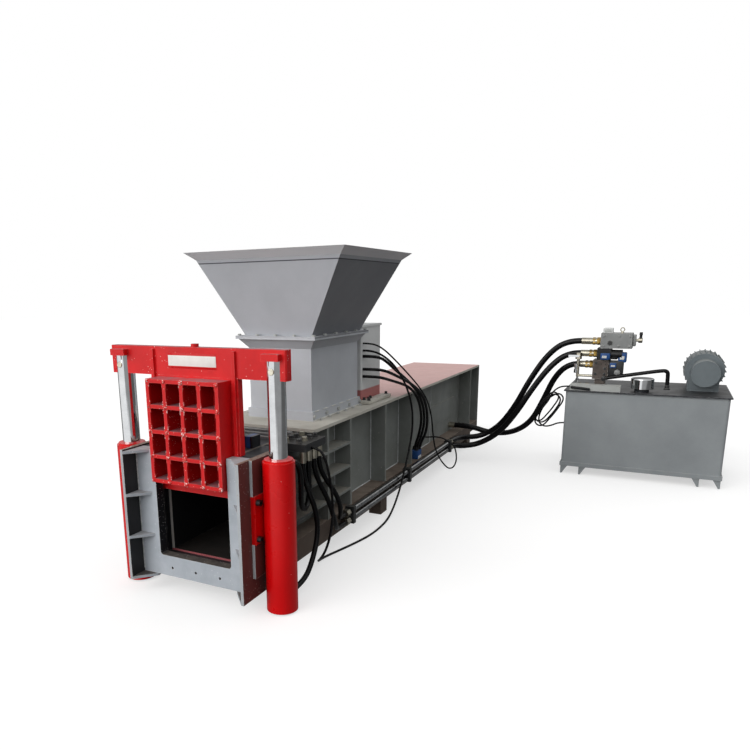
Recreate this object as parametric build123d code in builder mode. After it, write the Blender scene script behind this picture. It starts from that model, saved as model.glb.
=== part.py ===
"""Horizontal hydraulic briquetting press with its power unit, in millimetres.

X runs right across the gate, Y from the gate to the rear, Z up from the floor. The origin is on the floor
under the front plate's front face, on the centreline of the press.
"""

import os
from math import pi, tan

from build123d import *

os.makedirs("parts", exist_ok=True)

# Front frame: the U-shaped plate round the mouth, its side flanges and gussets
MOUTH_HALF = 173.5
MOUTH_SILL_Z = 158.0
MOUTH_CORNER_R = 13.0
PLATE_HALF = 265.5
PLATE_T = 41.0
FRAME_BOTTOM_Z = 71.0
FRAME_TOP_Z = 595.0
SILL_HOLE_R = 5.5
SILL_HOLE_PITCH = 117.0
SILL_HOLE_Z = 108.0
FLANGE_T = 12.0
FLANGE_FRONT_Y = -75.0
FLANGE_BACK_Y = 242.0
GUSSET_T = 11.0
GUSSET_PITCH = 175.0
GUSSET_REACH = 70.0

# Gate: the plate that slides down behind the front plate, and the slot it runs in
GATE_FRONT_Y = 54.0
GATE_T = 28.0
GATE_HALF = 203.0
GATE_BOTTOM_Z = 422.0
GATE_SIDE_GAP = 2.0
GATE_BACK_GAP = 4.0
SILL_T = 74.0
TIE_X = 190.0
TIE_W = 14.0
TIE_T = 10.0
TIE_BOTTOM_Z = 470.0
GRID_HALF = 169.0
GRID_FRONT_Y = -24.0
GRID_BOTTOM_Z = 472.0
GRID_TOP_Z = 878.0
GRID_BAR_T = 15.0
GRID_CELLS = 4

# Crossbeam and the lift cylinders that raise it
BEAM_HALF = 408.0
BEAM_BOTTOM_Z = 884.0
BEAM_H = 110.0
BEAM_T = 40.0
BEAM_CHAMFER = 5.0
LUG_W = 70.0
LUG_H = 25.0
LUG_T = 25.0
STUB_R = 15.0
STUB_H = 12.0
CYL_X = 354.0
ROD_R = 35.0
ROD_SLOT_GAP = 0.3
PRONG_TOP_Z = 955.0
PIN_R = 12.0
PIN_Z = 917.0
PIN_GAP = 0.05
PIN_PROUD = 2.0
BARREL_R = 60.5
BARREL_BORE_R = 50.0
BARREL_BOTTOM_Z = 5.0
BARREL_TOP_Z = 589.0
BARREL_CAP_T = 25.0
STROKE_DOWN = 272.0
PISTON_H = 50.0
PISTON_SPIGOT_R = 20.0
PISTON_FLOOR_GAP = 2.0
PISTON_GAP = 0.05
GLAND_H = 40.0
GLAND_RIM_R = 54.0
GLAND_RIM_H = 8.0
PORT_R = 14.0
PORT_L = 22.0
PORT_Z = 560.0

# Brackets that hold each barrel to its flange, and the shear pads above and below them
BRACKET_T = 19.5
BRACKET_FRONT_Y = -6.0
BRACKET_BACK_Y = 154.0
BRACKET_BOTTOM_Z = 278.0
BRACKET_TOP_Z = 464.0
SCREW_Y = (10.0, 138.0)
SCREW_Z = (298.0, 440.0)
SCREW_R = 8.0
SCREW_HEAD_R = 12.0
SCREW_HEAD_H = 16.0
SCREW_HEX_R = 7.5
SCREW_HEX_D = 8.0
SCREW_GAP = 0.5
PAD_T = 12.0
PAD_H = 136.0

# Body: chamber walls, floor and roof, deck, ribs, shelves and rails
WALL_T = 12.0
BODY_HALF = 272.0
BODY_END_Y = 3287.0
FLOOR_TOP_Z = 153.0
FLOOR_T = 20.0
ROOF_T = 22.0
DECK_FRONT_Y = 515.0
DECK_TOP_Z = 614.0
DECK_T = 14.0
DECK_CORNER_R = 25.0
FRAME_PLATE_T = 52.0
RIB_T = 15.0
BULKHEAD_Y = 1735.0
CRADLE_Y = BODY_END_Y - 252.0
RIB_Y = (630.0, 872.0, 1318.0, BULKHEAD_Y, CRADLE_Y, BODY_END_Y - RIB_T)
RAIL_BOTTOM_Z = 77.0
RAIL_TOP_Z = 172.0
RAIL_WALL = 8.0
RAIL_STEP_Y = BODY_END_Y - 200.0
RAIL_STEP_Z = 110.0
SHELF_T = 12.0
SHELF_TOPS = (262.0, 377.0, 492.0)
FOOT_L = 86.0
FOOT_W = 70.0
FOOT_Y = (1262.0, BODY_END_Y - 286.0)
BAY_FRONT_Y = 2342.0
BAY_BACK_Y = 2885.0
BAY_LOW_Z = 277.0
BAY_HIGH_Z = 415.0
BAY_PAD_T = 5.0

# Main cylinder and the platen that it drives to the gate
RAM_STROKE = 1100.0
PLATEN_GAP = 2.0
PLATEN_T = 60.0
PLATEN_RETRACTED_Y = 1210.0
PLATEN_RIB_L = 130.0
PLATEN_RIB_T = 20.0
RAM_ROD_R = 45.0
RAM_BARREL_R = 90.0
RAM_BORE_R = 75.0
RAM_PISTON_L = 60.0
RAM_SPIGOT_R = 30.0
RAM_GLAND_L = 90.0
RAM_CAP_T = 30.0
RAM_REAR_GAP = 5.0
BULKHEAD_T = 40.0
REAR_PLATE_T = 16.0
RAM_TAIL_GAP = 91.0
PLATEN_RIB_PITCH = 220.0

# Neck and hopper
NECK_HALF = 165.0
NECK_FRONT_Y = 687.0
NECK_BACK_Y = 1188.0
NECK_WALL = 10.0
NECK_TOP_Z = 940.0
COLLAR_H = 42.0
COLLAR_OUT = 34.0
NECK_FLANGE_OUT = 44.0
NECK_FLANGE_T = 7.0
STRIP_T = 10.0
STRIP_H = 42.0
STRIP_OVER = 12.0
HOPPER_FLANGE_T = 8.0
HOPPER_BASE_OUT = 10.0
HOPPER_WALL = 5.0
HOPPER_FOLD_HALF = 365.0
HOPPER_FOLD_FRONT_Y = 580.0
HOPPER_FOLD_BACK_Y = 1281.0
HOPPER_FOLD_Z = 1337.0
LIP_RISE = 33.0
LIP_OUT = 40.0
BOLT_HEAD_R = 9.5
BOLT_HEAD_H = 8.0
BOLT_INSET = 14.0
BOLTS_LONG = 6
BOLTS_SHORT = 5
STRIP_BOLTS = 5
REAR_BOX_GAP = 52.0
REAR_BOX_BACK_Y = 1499.0
REAR_BOX_TOP_Z = 1020.0
REAR_BOX_LID_T = 12.0
REAR_BOX_LID_OVER = 5.0
REAR_BOX_R = 8.0

# Hydraulics on the press
MANIFOLD_Y = (328.0, 512.0)
MANIFOLD_Z = (560.0, 592.0)
MANIFOLD_W = 140.0
MANIFOLD_CHAMFER = 3.0
PIPE_R = 14.0
PIPE_X = BODY_HALF + 24.0
PIPE_Z = (121.0, 162.0)
PIPE_Y = (792.0, 2445.0)
PIPE_BORE_R = 10.0
CLAMP_Y = (812.0, 1600.0, 2410.0)
CLAMP_L = 25.0
CLAMP_OVER = 7.0
UNION_R = 19.0
UNION_L = 34.0
SWITCH_SIZE = (44.0, 62.0, 46.0)
SWITCH_CORNER_R = 6.0
SWITCH_AT = (150.0, 211.0)

# Power unit
UNIT_FRONT_Y = 2560.0
TANK_LEFT_X = 1018.0
TANK_W = 912.0
TANK_D = 600.0
TANK_BOTTOM_Z = 52.0
TANK_TOP_Z = 545.0
TANK_WALL = 4.0
TANK_CORNER_R = 18.0
TANK_BAND_H = 26.0
TANK_BAND_OUT = 6.0
LID_T = 8.0
LID_OVER = 10.0
TANK_FOOT_W = 112.0
TANK_FOOT_TIP = 10.0
TANK_FOOT_TOP = 42.0
TANK_FOOT_T = 6.0
COVER_X = (1041.0, 1337.0)
COVER_TOP_Z = 591.0
COVER_D = 70.0
BREATHER_X = 1455.0
BREATHER_R = 66.0
BREATHER_Z = (575.0, 640.0)
BREATHER_NECK_R = 42.0
BREATHER_EDGE_R = 8.0
BLOCK_X = (1195.0, 1377.0)
BLOCK_Z = (817.0, 911.0)
BLOCK_D = 130.0
BLOCK_SETBACK = 5.0
STAND_INSET = 15.0
VALVE_X = (1180.0, 1262.0)
LOWER_X = (1161.0, 1252.0)
LOWER_Z = (621.0, 743.0)
LOWER_D = 110.0
COIL_R = 24.0
COIL_L = 62.0
COCK_X = 1072.0
COCK_FEED_Z = 640.0
COCK_PIPE_R = 8.0
COCK_Z = (745.0, 785.0)
COCK_R = 17.0
COCK_INSET = 10.0
LEVER_L = 60.0
LEVER_W = 14.0
LEVER_T = 4.0
LEVER_PIN_R = 4.0
LEVER_PIN_L = 12.0
SEAT_GAP = 0.3
MOTOR_X = TANK_LEFT_X + TANK_W - 140.0
MOTOR_R = 108.0
MOTOR_RISE = 125.0
MOTOR_L = 280.0
MOTOR_BEHIND = 45.0
MOTOR_FOOT_HALF = 85.0
MOTOR_FINS = 24
FIN_H = 8.0
FIN_T = 5.0
BELL_L = 90.0
BELL_R = 78.0
BELL_WALL = 8.0
PUMP_L = 60.0
SHAFT_R = 14.0
SHAFT_END_GAP = 2.0
COUPLING_R = 38.0
COUPLING_GAP = 10.0

# Hoses and electric cables
UNIT_HOSE_R = 19.0
UNIT_HOSE_X = 1080.0
WALL_PORT_Y = 2800.0
WALL_PORT_Z = 215.0
WALL_PORT_L = 45.0
UNIT_FERRULE_R = 21.0
UNIT_PORTS = ((1195.0, 858.0), (1180.0, 780.0), (1161.0, 710.0))
HOSE_R = 11.0
FERRULE_X = BODY_HALF + 28.0
FERRULE_INSET = 25.0
FERRULE_PITCH = 47.0
FERRULE_R = 14.0
FERRULE_L = 50.0
CABLE_R = 8.0
THIN_CABLE_R = 4.5
SIGNAL_CABLE_R = 5.5
CABLE_INSET = 22.0
HANK_CABLE_R = 5.0
HANK_AT = (905.0, 2600.0, 415.0)
HANK_TILT = (0.55, 0.835)
HANK_PITCH = 13.0
HANK_TURNS = ((122.0, 36.0), (112.0, 40.0), (118.0, 34.0))
HANK_SHAPE = (
    ((0.55, 0.0), 1.06),
    ((-0.05, 0.0), 1.12),
    ((-0.6, 0.0), 1.06),
    ((-1.0, 0.0), 1.0),
    ((-1.0, -0.707), 0.707),
    ((-1.0, -1.0), 0.0),
    ((-1.0, -0.707), -0.707),
    ((-1.0, 0.0), -1.0),
    ((-0.5, 0.0), -1.06),
    ((0.05, 0.0), -1.12),
    ((0.6, 0.0), -1.06),
    ((1.0, 0.0), -1.0),
    ((1.0, 0.707), -0.707),
    ((1.0, 1.0), 0.0),
    ((1.0, 0.707), 0.707),
    ((1.0, 0.0), 1.0),
)
HANK_LEAD_IN = ((COVER_X[0], 2597, 572), (1003, 2597, 572), (966, 2598, 560), (930, 2599, 525))
HANK_LEAD_OUT = (
    (889, 2641, 450),
    (862, 2645, 398),
    (846, 2650, 345),
    (852, 2656, 303),
    (886, 2662, 282),
    (930, 2668, 292),
    (975, 2673, 316),
    (TANK_LEFT_X, 2673, 316),
)


def corners(low, high, mode=Mode.ADD):
    """A rectangle in the open sketch, from its low corner to its high one."""
    with Locations(((low[0] + high[0]) / 2, (low[1] + high[1]) / 2)):
        Rectangle(high[0] - low[0], high[1] - low[1], mode=mode)


def across(y):
    """The plane across the press at y: sketches are in x and z, and a negative extrusion runs rearwards."""
    return Plane.XZ.offset(-y)


def save(piece, name):
    """Labels a finished piece and writes its file."""
    piece.part.label = name
    export_step(piece.part, f"parts/{name}.step")


gate_back_y = GATE_FRONT_Y + GATE_T
slot_back_y = gate_back_y + GATE_BACK_GAP
cyl_y = GATE_FRONT_Y + BEAM_T / 2
wall_out = MOUTH_HALF + WALL_T
flange_out = PLATE_HALF + FLANGE_T
roof_under_z = FRAME_TOP_Z - ROOF_T
deck_under_z = DECK_TOP_Z - DECK_T
floor_under_z = FLOOR_TOP_Z - FLOOR_T

# Front plate, open at the top, with three holes under the mouth
with BuildPart() as front_plate:
    with BuildSketch(Plane.XZ):
        corners((-PLATE_HALF, FRAME_BOTTOM_Z), (PLATE_HALF, FRAME_TOP_Z))
        corners((-MOUTH_HALF, MOUTH_SILL_Z), (MOUTH_HALF, FRAME_TOP_Z), mode=Mode.SUBTRACT)
        with Locations((0, SILL_HOLE_Z)):
            with GridLocations(SILL_HOLE_PITCH, 0, 3, 1):
                Circle(SILL_HOLE_R, mode=Mode.SUBTRACT)
    extrude(amount=-PLATE_T)
    sill_corners = front_plate.edges().filter_by(Axis.Y).filter_by_position(
        Axis.Z, MOUTH_SILL_Z - 1, MOUTH_SILL_Z + 1
    )
    fillet(sill_corners, MOUTH_CORNER_R)
save(front_plate, "front_plate")

# Side flanges, with the bracket screws' holes and the shear pads above and below each bracket
with BuildPart() as side_flanges:
    with BuildSketch(Plane.YZ.offset(PLATE_HALF)):
        corners((FLANGE_FRONT_Y, FRAME_BOTTOM_Z - GUSSET_T), (FLANGE_BACK_Y, FRAME_TOP_Z + SHELF_T / 2))
        with Locations(*[(y, z) for y in SCREW_Y for z in SCREW_Z]):
            Circle(SCREW_R + SCREW_GAP, mode=Mode.SUBTRACT)
    extrude(amount=FLANGE_T)
    with BuildSketch(Plane.YZ.offset(flange_out)):
        corners((BRACKET_FRONT_Y, BRACKET_TOP_Z), (BRACKET_BACK_Y, BRACKET_TOP_Z + PAD_H))
        corners((BRACKET_FRONT_Y, BRACKET_BOTTOM_Z - PAD_H), (BRACKET_BACK_Y, BRACKET_BOTTOM_Z))
    extrude(amount=PAD_T)
    mirror(about=Plane.YZ)
save(side_flanges, "side_flanges")

# Gussets between the flanges and the plate: triangles, the lowest one running under the plate
with BuildPart() as front_gussets:
    for step in range(4):
        top_z = FRAME_TOP_Z - step * GUSSET_PITCH
        lowest = step == 3
        back_y = PLATE_T if lowest else 0.0
        under_z = FRAME_BOTTOM_Z - GUSSET_T if lowest else top_z - GUSSET_T
        with BuildSketch(Plane.XY.offset(under_z)):
            with BuildLine():
                Polyline(
                    (PLATE_HALF, FLANGE_FRONT_Y),
                    (PLATE_HALF, back_y),
                    (PLATE_HALF - GUSSET_REACH, back_y),
                    *([(PLATE_HALF - GUSSET_REACH, 0.0)] if lowest else []),
                    close=True,
                )
            make_face()
        extrude(amount=GUSSET_T)
    mirror(about=Plane.YZ)
save(front_gussets, "front_gussets")

# Guides and sill that close the gate's slot at its sides and under it
with BuildPart() as gate_guides:
    with BuildSketch(across(PLATE_T)):
        corners((-PLATE_HALF, FRAME_BOTTOM_Z), (PLATE_HALF, FRAME_TOP_Z))
        corners(
            (-GATE_HALF - GATE_SIDE_GAP, FRAME_BOTTOM_Z + SILL_T),
            (GATE_HALF + GATE_SIDE_GAP, FRAME_TOP_Z),
            mode=Mode.SUBTRACT,
        )
    extrude(amount=-(slot_back_y - PLATE_T))
save(gate_guides, "gate_guides")

# Rear frame round the chamber's front end, with its top plates back to the shelves
with BuildPart() as chamber_frame:
    with BuildSketch(across(slot_back_y)):
        corners((-PLATE_HALF, FRAME_BOTTOM_Z), (PLATE_HALF, FRAME_TOP_Z))
        corners((-wall_out, floor_under_z), (wall_out, FRAME_TOP_Z), mode=Mode.SUBTRACT)
    extrude(amount=-FRAME_PLATE_T)
    with BuildSketch(Plane.XY.offset(FRAME_TOP_Z - SHELF_T)):
        for side in (-1, 1):
            inner, outer = sorted((side * wall_out, side * PLATE_HALF))
            corners((inner, slot_back_y + FRAME_PLATE_T), (outer, FLANGE_BACK_Y))
    extrude(amount=SHELF_T)
save(chamber_frame, "chamber_frame")

# Chamber floor, which runs on under the main cylinder
with BuildPart() as chamber_floor:
    with BuildSketch(Plane.XY.offset(floor_under_z)):
        corners((-wall_out, slot_back_y), (wall_out, BODY_END_Y))
    extrude(amount=FLOOR_T)
save(chamber_floor, "chamber_floor")

# Side walls, stepped up to the deck, with a raised panel in the rear bay
with BuildPart() as body_walls:
    with BuildSketch(Plane.YZ.offset(MOUTH_HALF)):
        with BuildLine():
            Polyline(
                (slot_back_y, FLOOR_TOP_Z),
                (BODY_END_Y, FLOOR_TOP_Z),
                (BODY_END_Y, deck_under_z),
                (DECK_FRONT_Y, deck_under_z),
                (DECK_FRONT_Y, FRAME_TOP_Z),
                (slot_back_y, FRAME_TOP_Z),
                close=True,
            )
        make_face()
    extrude(amount=WALL_T)
    with BuildSketch(Plane.YZ.offset(wall_out)):
        corners((BAY_FRONT_Y, BAY_LOW_Z), (BAY_BACK_Y, BAY_HIGH_Z))
    extrude(amount=BAY_PAD_T)
    mirror(about=Plane.YZ)
save(body_walls, "body_walls")

# Roof over the chamber's front, where the charge is pressed
with BuildPart() as chamber_roof:
    with BuildSketch(Plane.XY.offset(roof_under_z)):
        corners((-MOUTH_HALF, slot_back_y), (MOUTH_HALF, NECK_FRONT_Y))
    extrude(amount=ROOF_T)
save(chamber_roof, "chamber_roof")

# Deck with the throat under the neck
with BuildPart() as top_deck:
    with BuildSketch(Plane.XY.offset(deck_under_z)):
        corners((-BODY_HALF, DECK_FRONT_Y), (BODY_HALF, BODY_END_Y))
        corners(
            (-NECK_HALF + NECK_WALL, NECK_FRONT_Y + NECK_WALL),
            (NECK_HALF - NECK_WALL, NECK_BACK_Y - NECK_WALL),
            mode=Mode.SUBTRACT,
        )
    extrude(amount=DECK_T)
    fillet(top_deck.edges().filter_by(Axis.Z).group_by(Axis.Y)[0], DECK_CORNER_R)
save(top_deck, "top_deck")

# Ribs between rail and deck
with BuildPart() as body_ribs:
    for rib_y in RIB_Y:
        with BuildSketch(across(rib_y)):
            corners((wall_out, RAIL_TOP_Z), (BODY_HALF, deck_under_z))
        extrude(amount=-RIB_T)
    mirror(about=Plane.YZ)
save(body_ribs, "body_ribs")

# Shelves that tie the front frame to the first two ribs
with BuildPart() as body_shelves:
    for shelf_top in SHELF_TOPS:
        with BuildSketch(Plane.XY.offset(shelf_top - SHELF_T)):
            corners((wall_out, FLANGE_BACK_Y), (BODY_HALF, RIB_Y[0]))
            corners((wall_out, RIB_Y[0] + RIB_T), (BODY_HALF, RIB_Y[1]))
        extrude(amount=SHELF_T)
    mirror(about=Plane.YZ)
save(body_shelves, "body_shelves")

# Rails: channels along both sides, open towards the body, notched at the rear
with BuildPart() as body_rails:
    with BuildSketch(across(FLANGE_BACK_Y)):
        corners((wall_out, RAIL_BOTTOM_Z), (BODY_HALF, RAIL_TOP_Z))
        corners(
            (wall_out, RAIL_BOTTOM_Z + RAIL_WALL),
            (BODY_HALF - RAIL_WALL, RAIL_TOP_Z - RAIL_WALL),
            mode=Mode.SUBTRACT,
        )
    extrude(amount=-(BODY_END_Y - FLANGE_BACK_Y))
    with BuildSketch(Plane.YZ.offset(wall_out)):
        corners((RAIL_STEP_Y, RAIL_BOTTOM_Z), (BODY_END_Y, RAIL_STEP_Z))
    extrude(amount=BODY_HALF - wall_out, mode=Mode.SUBTRACT)
    mirror(about=Plane.YZ)
save(body_rails, "body_rails")

# Cross plates in the body: the cylinder's front bulkhead, its rear cradle and the end plate
barrel_end_y = BODY_END_Y - REAR_PLATE_T - RAM_TAIL_GAP
axis_z = (FLOOR_TOP_Z + roof_under_z) / 2
with BuildPart() as bulkheads:
    for plate_y in (BULKHEAD_Y, CRADLE_Y):
        with BuildSketch(across(plate_y)):
            corners((-MOUTH_HALF, FLOOR_TOP_Z), (MOUTH_HALF, deck_under_z))
            with Locations((0, axis_z)):
                Circle(RAM_BARREL_R, mode=Mode.SUBTRACT)
        extrude(amount=-BULKHEAD_T)
    with BuildSketch(across(BODY_END_Y - REAR_PLATE_T)):
        corners((-MOUTH_HALF, FLOOR_TOP_Z), (MOUTH_HALF, deck_under_z))
    extrude(amount=-REAR_PLATE_T)
save(bulkheads, "bulkheads")

# Feet under the rails
with BuildPart() as foot_blocks:
    with BuildSketch(Plane.XY):
        for foot_y in FOOT_Y:
            corners((BODY_HALF - FOOT_W, foot_y), (BODY_HALF, foot_y + FOOT_L))
    extrude(amount=RAIL_BOTTOM_Z)
    mirror(about=Plane.YZ)
save(foot_blocks, "foot_blocks")

# Brackets with a saddle for the barrel and four screw holes each
with BuildPart() as barrel_brackets:
    with BuildSketch(Plane.YZ.offset(flange_out)):
        corners((BRACKET_FRONT_Y, BRACKET_BOTTOM_Z), (BRACKET_BACK_Y, BRACKET_TOP_Z))
        with Locations(*[(y, z) for y in SCREW_Y for z in SCREW_Z]):
            Circle(SCREW_R + SCREW_GAP, mode=Mode.SUBTRACT)
    extrude(amount=BRACKET_T)
    with BuildSketch(Plane.XY.offset(BRACKET_BOTTOM_Z)):
        with Locations((CYL_X, cyl_y)):
            Circle(BARREL_R)
    extrude(amount=BRACKET_TOP_Z - BRACKET_BOTTOM_Z, mode=Mode.SUBTRACT)
    mirror(about=Plane.YZ)
save(barrel_brackets, "barrel_brackets")

# Socket-head screws through bracket and flange
with BuildPart() as bracket_screws:
    bracket_out = flange_out + BRACKET_T
    with BuildSketch(Plane.YZ.offset(PLATE_HALF)):
        with Locations(*[(y, z) for y in SCREW_Y for z in SCREW_Z]):
            Circle(SCREW_R)
    extrude(amount=bracket_out - PLATE_HALF)
    with BuildSketch(Plane.YZ.offset(bracket_out)):
        with Locations(*[(y, z) for y in SCREW_Y for z in SCREW_Z]):
            Circle(SCREW_HEAD_R)
            RegularPolygon(SCREW_HEX_R, 6, mode=Mode.SUBTRACT)
    extrude(amount=SCREW_HEAD_H)
    with BuildSketch(Plane.YZ.offset(bracket_out)):
        with Locations(*[(y, z) for y in SCREW_Y for z in SCREW_Z]):
            RegularPolygon(SCREW_HEX_R, 6)
    extrude(amount=SCREW_HEAD_H - SCREW_HEX_D)
    mirror(about=Plane.YZ)
save(bracket_screws, "bracket_screws")

# Lift barrels: closed at the foot, with a port boss at both ends, facing rearwards
with BuildPart() as lift_barrels:
    with BuildSketch(Plane.XY.offset(BARREL_BOTTOM_Z)):
        with Locations((CYL_X, cyl_y)):
            Circle(BARREL_R)
    extrude(amount=BARREL_TOP_Z - BARREL_BOTTOM_Z)
    with BuildSketch(across(cyl_y)):
        with Locations((CYL_X, PORT_Z), (CYL_X, BARREL_BOTTOM_Z + BARREL_CAP_T + PORT_R)):
            Circle(PORT_R)
    extrude(amount=-(BARREL_R + PORT_L))
    with BuildSketch(Plane.XY.offset(BARREL_BOTTOM_Z + BARREL_CAP_T)):
        with Locations((CYL_X, cyl_y)):
            Circle(BARREL_BORE_R)
    extrude(amount=BARREL_TOP_Z - BARREL_BOTTOM_Z - BARREL_CAP_T, mode=Mode.SUBTRACT)
    mirror(about=Plane.YZ)
save(lift_barrels, "lift_barrels")

# Glands in the barrels' mouths
with BuildPart() as lift_glands:
    for gland_z, gland_r, gland_h in (
        (BARREL_TOP_Z - GLAND_H, BARREL_BORE_R, GLAND_H),
        (BARREL_TOP_Z, GLAND_RIM_R, GLAND_RIM_H),
    ):
        with BuildSketch(Plane.XY.offset(gland_z)):
            with Locations((CYL_X, cyl_y)):
                Circle(gland_r)
                Circle(ROD_R + PISTON_GAP, mode=Mode.SUBTRACT)
        extrude(amount=gland_h)
    mirror(about=Plane.YZ)
save(lift_glands, "lift_glands")

# Lift rods: a spigot for the piston below, a fork over the crossbeam above
piston_z = BARREL_BOTTOM_Z + BARREL_CAP_T + PISTON_FLOOR_GAP + STROKE_DOWN
with BuildPart() as lift_rods:
    for rod_z, rod_r, rod_top in (
        (piston_z, PISTON_SPIGOT_R, piston_z + PISTON_H),
        (piston_z + PISTON_H, ROD_R, PRONG_TOP_Z),
    ):
        with BuildSketch(Plane.XY.offset(rod_z)):
            with Locations((CYL_X, cyl_y)):
                Circle(rod_r)
        extrude(amount=rod_top - rod_z)
    with BuildSketch(Plane.XY.offset(BEAM_BOTTOM_Z)):
        corners(
            (CYL_X - 2 * ROD_R, GATE_FRONT_Y - ROD_SLOT_GAP),
            (CYL_X + 2 * ROD_R, GATE_FRONT_Y + BEAM_T + ROD_SLOT_GAP),
        )
    extrude(amount=PRONG_TOP_Z - BEAM_BOTTOM_Z, mode=Mode.SUBTRACT)
    with BuildSketch(across(cyl_y - 2 * ROD_R)):
        with Locations((CYL_X, PIN_Z)):
            Circle(PIN_R + PIN_GAP)
    extrude(amount=-4 * ROD_R, mode=Mode.SUBTRACT)
    mirror(about=Plane.YZ)
save(lift_rods, "lift_rods")

# Pistons on the rods' spigots
with BuildPart() as lift_pistons:
    with BuildSketch(Plane.XY.offset(piston_z)):
        with Locations((CYL_X, cyl_y)):
            Circle(BARREL_BORE_R - PISTON_GAP)
            Circle(PISTON_SPIGOT_R, mode=Mode.SUBTRACT)
    extrude(amount=PISTON_H)
    mirror(about=Plane.YZ)
save(lift_pistons, "lift_pistons")

# Pins through fork and beam
with BuildPart() as rod_pins:
    with BuildSketch(across(cyl_y - ROD_R - PIN_PROUD)):
        with Locations((CYL_X, PIN_Z)):
            Circle(PIN_R)
    extrude(amount=-2 * (ROD_R + PIN_PROUD))
    chamfer(rod_pins.edges().filter_by(GeomType.CIRCLE), PIN_PROUD / 2)
    mirror(about=Plane.YZ)
save(rod_pins, "rod_pins")

# Crossbeam with the lugs that bear on the forks and the lifting stub
with BuildPart() as crossbeam:
    with BuildSketch(across(GATE_FRONT_Y)):
        corners((-BEAM_HALF, BEAM_BOTTOM_Z), (BEAM_HALF, BEAM_BOTTOM_Z + BEAM_H))
        with GridLocations(2 * CYL_X, 0, 2, 1):
            with Locations((0, PIN_Z)):
                Circle(PIN_R + PIN_GAP, mode=Mode.SUBTRACT)
    extrude(amount=-BEAM_T)
    chamfer(crossbeam.edges().filter_by(Axis.Z), BEAM_CHAMFER)
    with BuildSketch(across(GATE_FRONT_Y - LUG_T)):
        with GridLocations(2 * CYL_X, 0, 2, 1):
            with Locations((0, PRONG_TOP_Z + LUG_H / 2)):
                Rectangle(LUG_W, LUG_H)
    extrude(amount=-LUG_T)
    with BuildSketch(Plane.XY.offset(BEAM_BOTTOM_Z + BEAM_H)):
        with Locations((0, cyl_y)):
            Circle(STUB_R)
    extrude(amount=STUB_H)
save(crossbeam, "crossbeam")

# Gate plate, and the ties up beside the grid onto the beam
with BuildPart() as gate_plate:
    with BuildSketch(across(GATE_FRONT_Y)):
        corners((-GATE_HALF, GATE_BOTTOM_Z), (GATE_HALF, BEAM_BOTTOM_Z))
    extrude(amount=-GATE_T)
    with BuildSketch(across(GATE_FRONT_Y - TIE_T)):
        for side in (-1, 1):
            with Locations((side * TIE_X, (TIE_BOTTOM_Z + BEAM_BOTTOM_Z + BEAM_H - TIE_T) / 2)):
                Rectangle(TIE_W, BEAM_BOTTOM_Z + BEAM_H - TIE_T - TIE_BOTTOM_Z)
    extrude(amount=-TIE_T)
save(gate_plate, "gate_plate")

# Grid of flat bars that fills the mouth and spreads the load of the briquette
cell_w = (2 * GRID_HALF - (GRID_CELLS + 1) * GRID_BAR_T) / GRID_CELLS
cell_h = (GRID_TOP_Z - GRID_BOTTOM_Z - (GRID_CELLS + 1) * GRID_BAR_T) / GRID_CELLS
with BuildPart() as gate_grid:
    with BuildSketch(across(GRID_FRONT_Y)):
        corners((-GRID_HALF, GRID_BOTTOM_Z), (GRID_HALF, GRID_TOP_Z))
        with Locations((0, (GRID_BOTTOM_Z + GRID_TOP_Z) / 2)):
            with GridLocations(cell_w + GRID_BAR_T, cell_h + GRID_BAR_T, GRID_CELLS, GRID_CELLS):
                Rectangle(cell_w, cell_h, mode=Mode.SUBTRACT)
    extrude(amount=-(GATE_FRONT_Y - GRID_FRONT_Y))
save(gate_grid, "gate_grid")

# Platen: a face plate with two upright ribs behind it
with BuildPart() as platen:
    platen_half = MOUTH_HALF - PLATEN_GAP
    platen_low, platen_high = FLOOR_TOP_Z + PLATEN_GAP, roof_under_z - PLATEN_GAP
    with BuildSketch(across(PLATEN_RETRACTED_Y)):
        corners((-platen_half, platen_low), (platen_half, platen_high))
    extrude(amount=-PLATEN_T)
    with BuildSketch(across(PLATEN_RETRACTED_Y + PLATEN_T)):
        with Locations((0, axis_z)):
            with GridLocations(PLATEN_RIB_PITCH, 0, 2, 1):
                Rectangle(PLATEN_RIB_T, platen_high - platen_low - 2 * PLATEN_RIB_T)
    extrude(amount=-PLATEN_RIB_L)
save(platen, "platen")

# Ram rod from the platen to the piston at the rear of the main cylinder
piston_y = barrel_end_y - RAM_CAP_T - RAM_REAR_GAP - RAM_PISTON_L
with BuildPart() as ram_rod:
    with BuildSketch(across(PLATEN_RETRACTED_Y + PLATEN_T)):
        with Locations((0, axis_z)):
            Circle(RAM_ROD_R)
    extrude(amount=-(piston_y - PLATEN_RETRACTED_Y - PLATEN_T))
    with BuildSketch(across(piston_y)):
        with Locations((0, axis_z)):
            Circle(RAM_SPIGOT_R)
    extrude(amount=-RAM_PISTON_L)
save(ram_rod, "ram_rod")

with BuildPart() as ram_piston:
    with BuildSketch(across(piston_y)):
        with Locations((0, axis_z)):
            Circle(RAM_BORE_R - PISTON_GAP)
            Circle(RAM_SPIGOT_R, mode=Mode.SUBTRACT)
    extrude(amount=-RAM_PISTON_L)
save(ram_piston, "ram_piston")

# Main barrel, closed at the rear
with BuildPart() as main_barrel:
    with BuildSketch(across(BULKHEAD_Y)):
        with Locations((0, axis_z)):
            Circle(RAM_BARREL_R)
            Circle(RAM_BORE_R, mode=Mode.SUBTRACT)
    extrude(amount=-(barrel_end_y - BULKHEAD_Y))
    with BuildSketch(across(barrel_end_y - RAM_CAP_T)):
        with Locations((0, axis_z)):
            Circle(RAM_BORE_R)
    extrude(amount=-RAM_CAP_T)
save(main_barrel, "main_barrel")

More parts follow.
